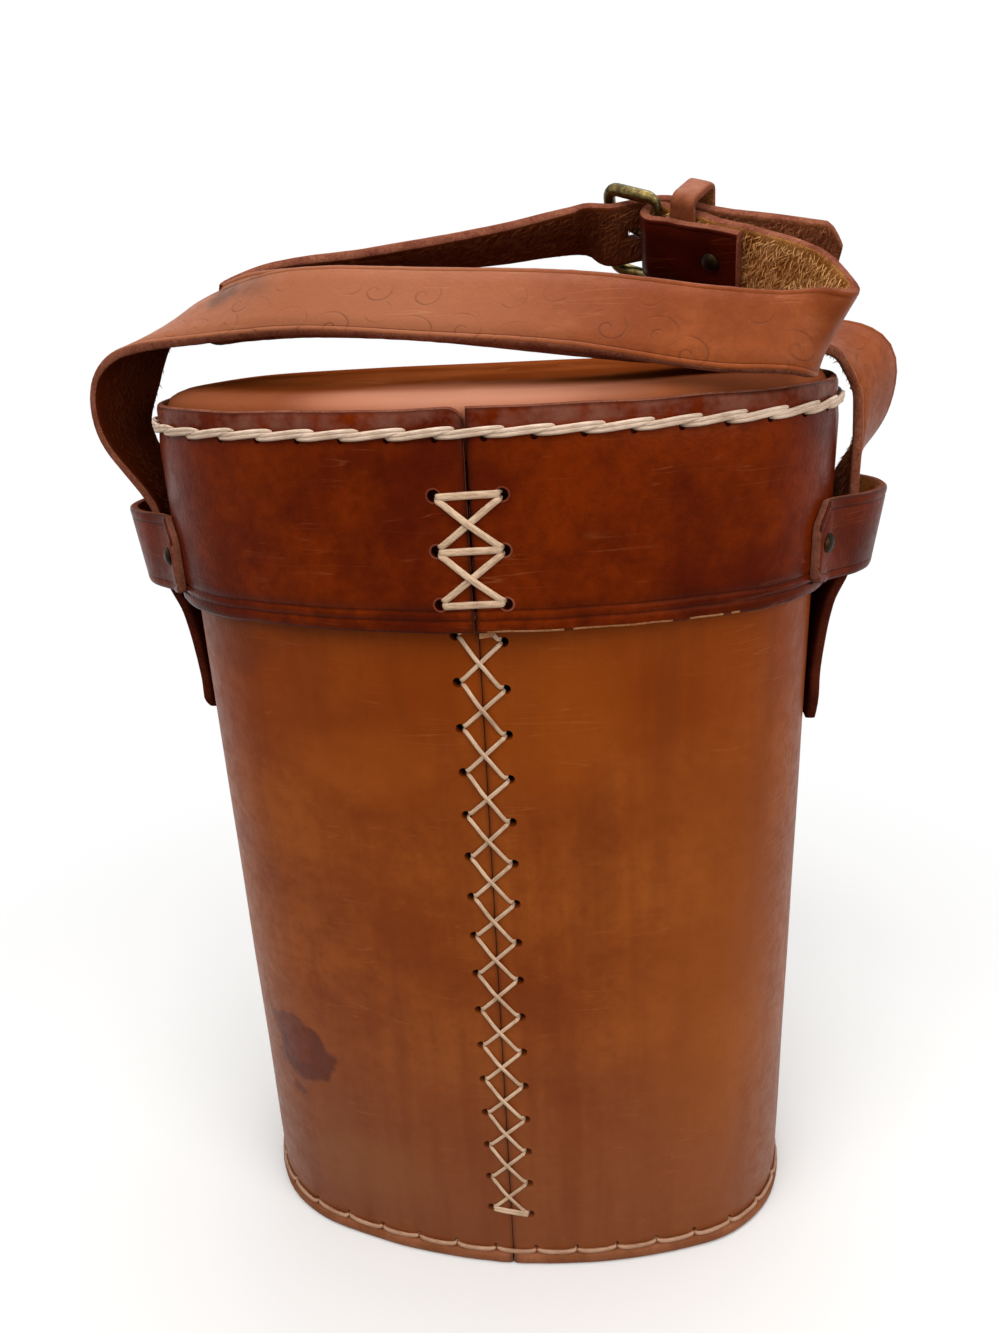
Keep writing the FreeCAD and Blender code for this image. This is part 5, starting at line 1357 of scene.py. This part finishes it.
def buildKeeper():
    half = strap["width"] / 2 * buckle["widths"][0] + strap["gap"]
    thick, corner, path = buckle["keeperThick"], buckle["keeperCorner"], []
    front, rear = 0.0, -billetBarSide - strap["thick"] / 2 - strap["gap"] - thick / 2
    upper, lower = half + thick / 2 + buckle["keeperRise"] - corner, -half - thick / 2 + corner
    for cy, cz, start in ((front - corner, upper, 0), (rear + corner, upper, 90), (rear + corner, lower, 180),
                          (front - corner, lower, 270)):
        path += cornerArc(cy, cz, corner, start)
    near, far = buckle["keeperNear"], buckle["keeperFar"]
    section = [(near, 0.3), (near + 0.3, 0.75), (near + 1, 0.95), (near + 2.6, 1), (far - 2.6, 1), (far - 1, 0.95),
               (far - 0.3, 0.75), (far, 0.3), (far, -0.8), (far - 0.4, -1), (near + 0.4, -1), (near, -0.8)]
    rings = [[atBuckle(x, y + ny * o * thick / 2, z + nz * o * thick / 2) * mm for x, o in section]
             for y, z, ny, nz in path]
    slots = [0] * 7 + [2, 1, 1, 1, 2]

    def rims(i, j):
        return 0.7 if j in (0, 7) else 0.2 if j in (1, 6) else 0.0

    keeper = sweep("keeperLoop", rings, [keeperLeather, fleshSide, cutEdge], loop=True, slots=slots, rims=rims,
                   crease=60)
    place(keeper, "strap", "strap_leather", "keeper_loop")


def buildProng():
    rest = Vector((buckle["length"], -(buckle["bar"] + buckle["heel"] + 0.45), 0))
    reach = rest.length + 2.2
    ahead = rest.normalized()
    side = Vector((-ahead.y, ahead.x, 0))
    stages = [(1.8, 1.1), (3.2, 1.3), (5, 1.35), (9, 1.35), (13, 1.3), (reach - 3, 1.2), (reach - 1.2, 1.05),
              (reach - 0.3, 0.7), (reach, 0.3)]  # distance from the heel bar, radius
    rings = [[atBuckle(*(ahead * d + side * (r * c) + Vector((0, 0, r * s)))) * mm for c, s in circle(14)]
             for d, r in stages]
    shaft = sweep("shaft", rings, [buckleBrass], crease=60)
    section = [(1.42, -1.3), (1.6, -1.65), (2.0, -1.65), (2.25, -1.2), (2.3, 0), (2.25, 1.2), (2.0, 1.65),
               (1.6, 1.65), (1.42, 1.3)]
    rings = [[atBuckle(c * r, s * r, z) * mm for r, z in section] for c, s in circle(20)]
    eye = sweep("eye", rings, [buckleBrass], loop=True, crease=60)
    prong = joinMeshes("bucklePin", [shaft, eye])
    finishMesh(prong, 60)
    place(prong, "prong", "buckle_brass", "buckle_prong")


buildLoops()
buildFixings()
frameHalf = strap["width"] / 2 * buckle["neck"] + buckle["sideGap"] + buckle["bar"]
buildFrame(framePath(0, buckle["length"], frameHalf, buckle["frameCorner"]))
buildKeeper()
buildProng()
print("loops, rivets and buckle made")

# stage: pale floor that turns to plain white away from the object, lamps mostly from above, even world
lamps = [("keyLamp", (-0.45, -0.75, 1.25), 0.9, 9.5), ("fillLamp", (0.85, -0.85, 0.75), 0.9, 9.2),
         ("topLamp", (0.05, 0.15, 1.45), 0.9, 9.0)]  # place, size, power
stageLook = {"floorHalf": 4.0, "floorLit": "8F8C88", "floorSeen": "F4F3F1", "fadeFrom": 0.16, "fadeTo": 0.42,
             "worldLight": 0.38, "aim": (0, 0, 0.2)}


def buildStage():
    mat, tree = newMaterial("paleFloor")
    place = addNode(tree, "ShaderNodeTexCoord").outputs["Object"]
    away = addNode(tree, "ShaderNodeVectorMath", {"operation": "LENGTH"}, {0: place})
    fade = addNode(tree, "ShaderNodeMapRange", {1: stageLook["fadeFrom"], 2: stageLook["fadeTo"],
                                                "interpolation_type": "SMOOTHSTEP"}, {0: away.outputs["Value"]})
    shown = shownRays(tree)
    tone = addNode(tree, "ShaderNodeMix", {"data_type": "RGBA", 6: hexColor(stageLook["floorLit"]),
                                           7: hexColor(stageLook["floorSeen"])}, {0: shown})
    seen = addNode(tree, "ShaderNodeMath", {"operation": "MULTIPLY"}, {0: shown, 1: fade})
    matte = addNode(tree, "ShaderNodeBsdfDiffuse", {}, {"Color": tone.outputs[2]})
    white = addNode(tree, "ShaderNodeEmission", {"Strength": 1.0})
    both = addNode(tree, "ShaderNodeMixShader", {}, {0: seen, 1: matte, 2: white})
    addNode(tree, "ShaderNodeOutputMaterial", {}, {"Surface": both})
    half = stageLook["floorHalf"]
    corners = [(-half, -half, 0), (half, -half, 0), (half, half, 0), (-half, half, 0)]
    floor = linkMesh("floor", corners, [(0, 1, 2, 3)], [mat])

    world = bpy.data.worlds.new("studio")
    scene.world = world
    world.use_nodes = True
    tree = world.node_tree
    tree.nodes.clear()
    strength = addNode(tree, "ShaderNodeMapRange", {3: stageLook["worldLight"], 4: 1.0}, {0: shownRays(tree)})
    sky = addNode(tree, "ShaderNodeBackground", {"Color": (1, 1, 1, 1)}, {"Strength": strength})
    addNode(tree, "ShaderNodeOutputWorld", {}, {"Surface": sky})

    for name, spot, size, power in lamps:
        data = bpy.data.lights.new(name, "AREA")
        data.size, data.energy = size, power
        lamp = bpy.data.objects.new(name, data)
        lamp.location = spot
        lamp.rotation_euler = (Vector(stageLook["aim"]) - Vector(spot)).to_track_quat("-Z", "Y").to_euler()
        scene.collection.objects.link(lamp)


# rays for which the background is plain white: seen directly, in a shine or through glass
def shownRays(tree):
    path = addNode(tree, "ShaderNodeLightPath")
    both = addNode(tree, "ShaderNodeMath", {"operation": "MAXIMUM"},
                   {0: path.outputs["Is Camera Ray"], 1: path.outputs["Is Glossy Ray"]})
    return addNode(tree, "ShaderNodeMath", {"operation": "MAXIMUM"},
                   {0: both, 1: path.outputs["Is Transmission Ray"]}).outputs[0]


buildStage()
print("stage set")
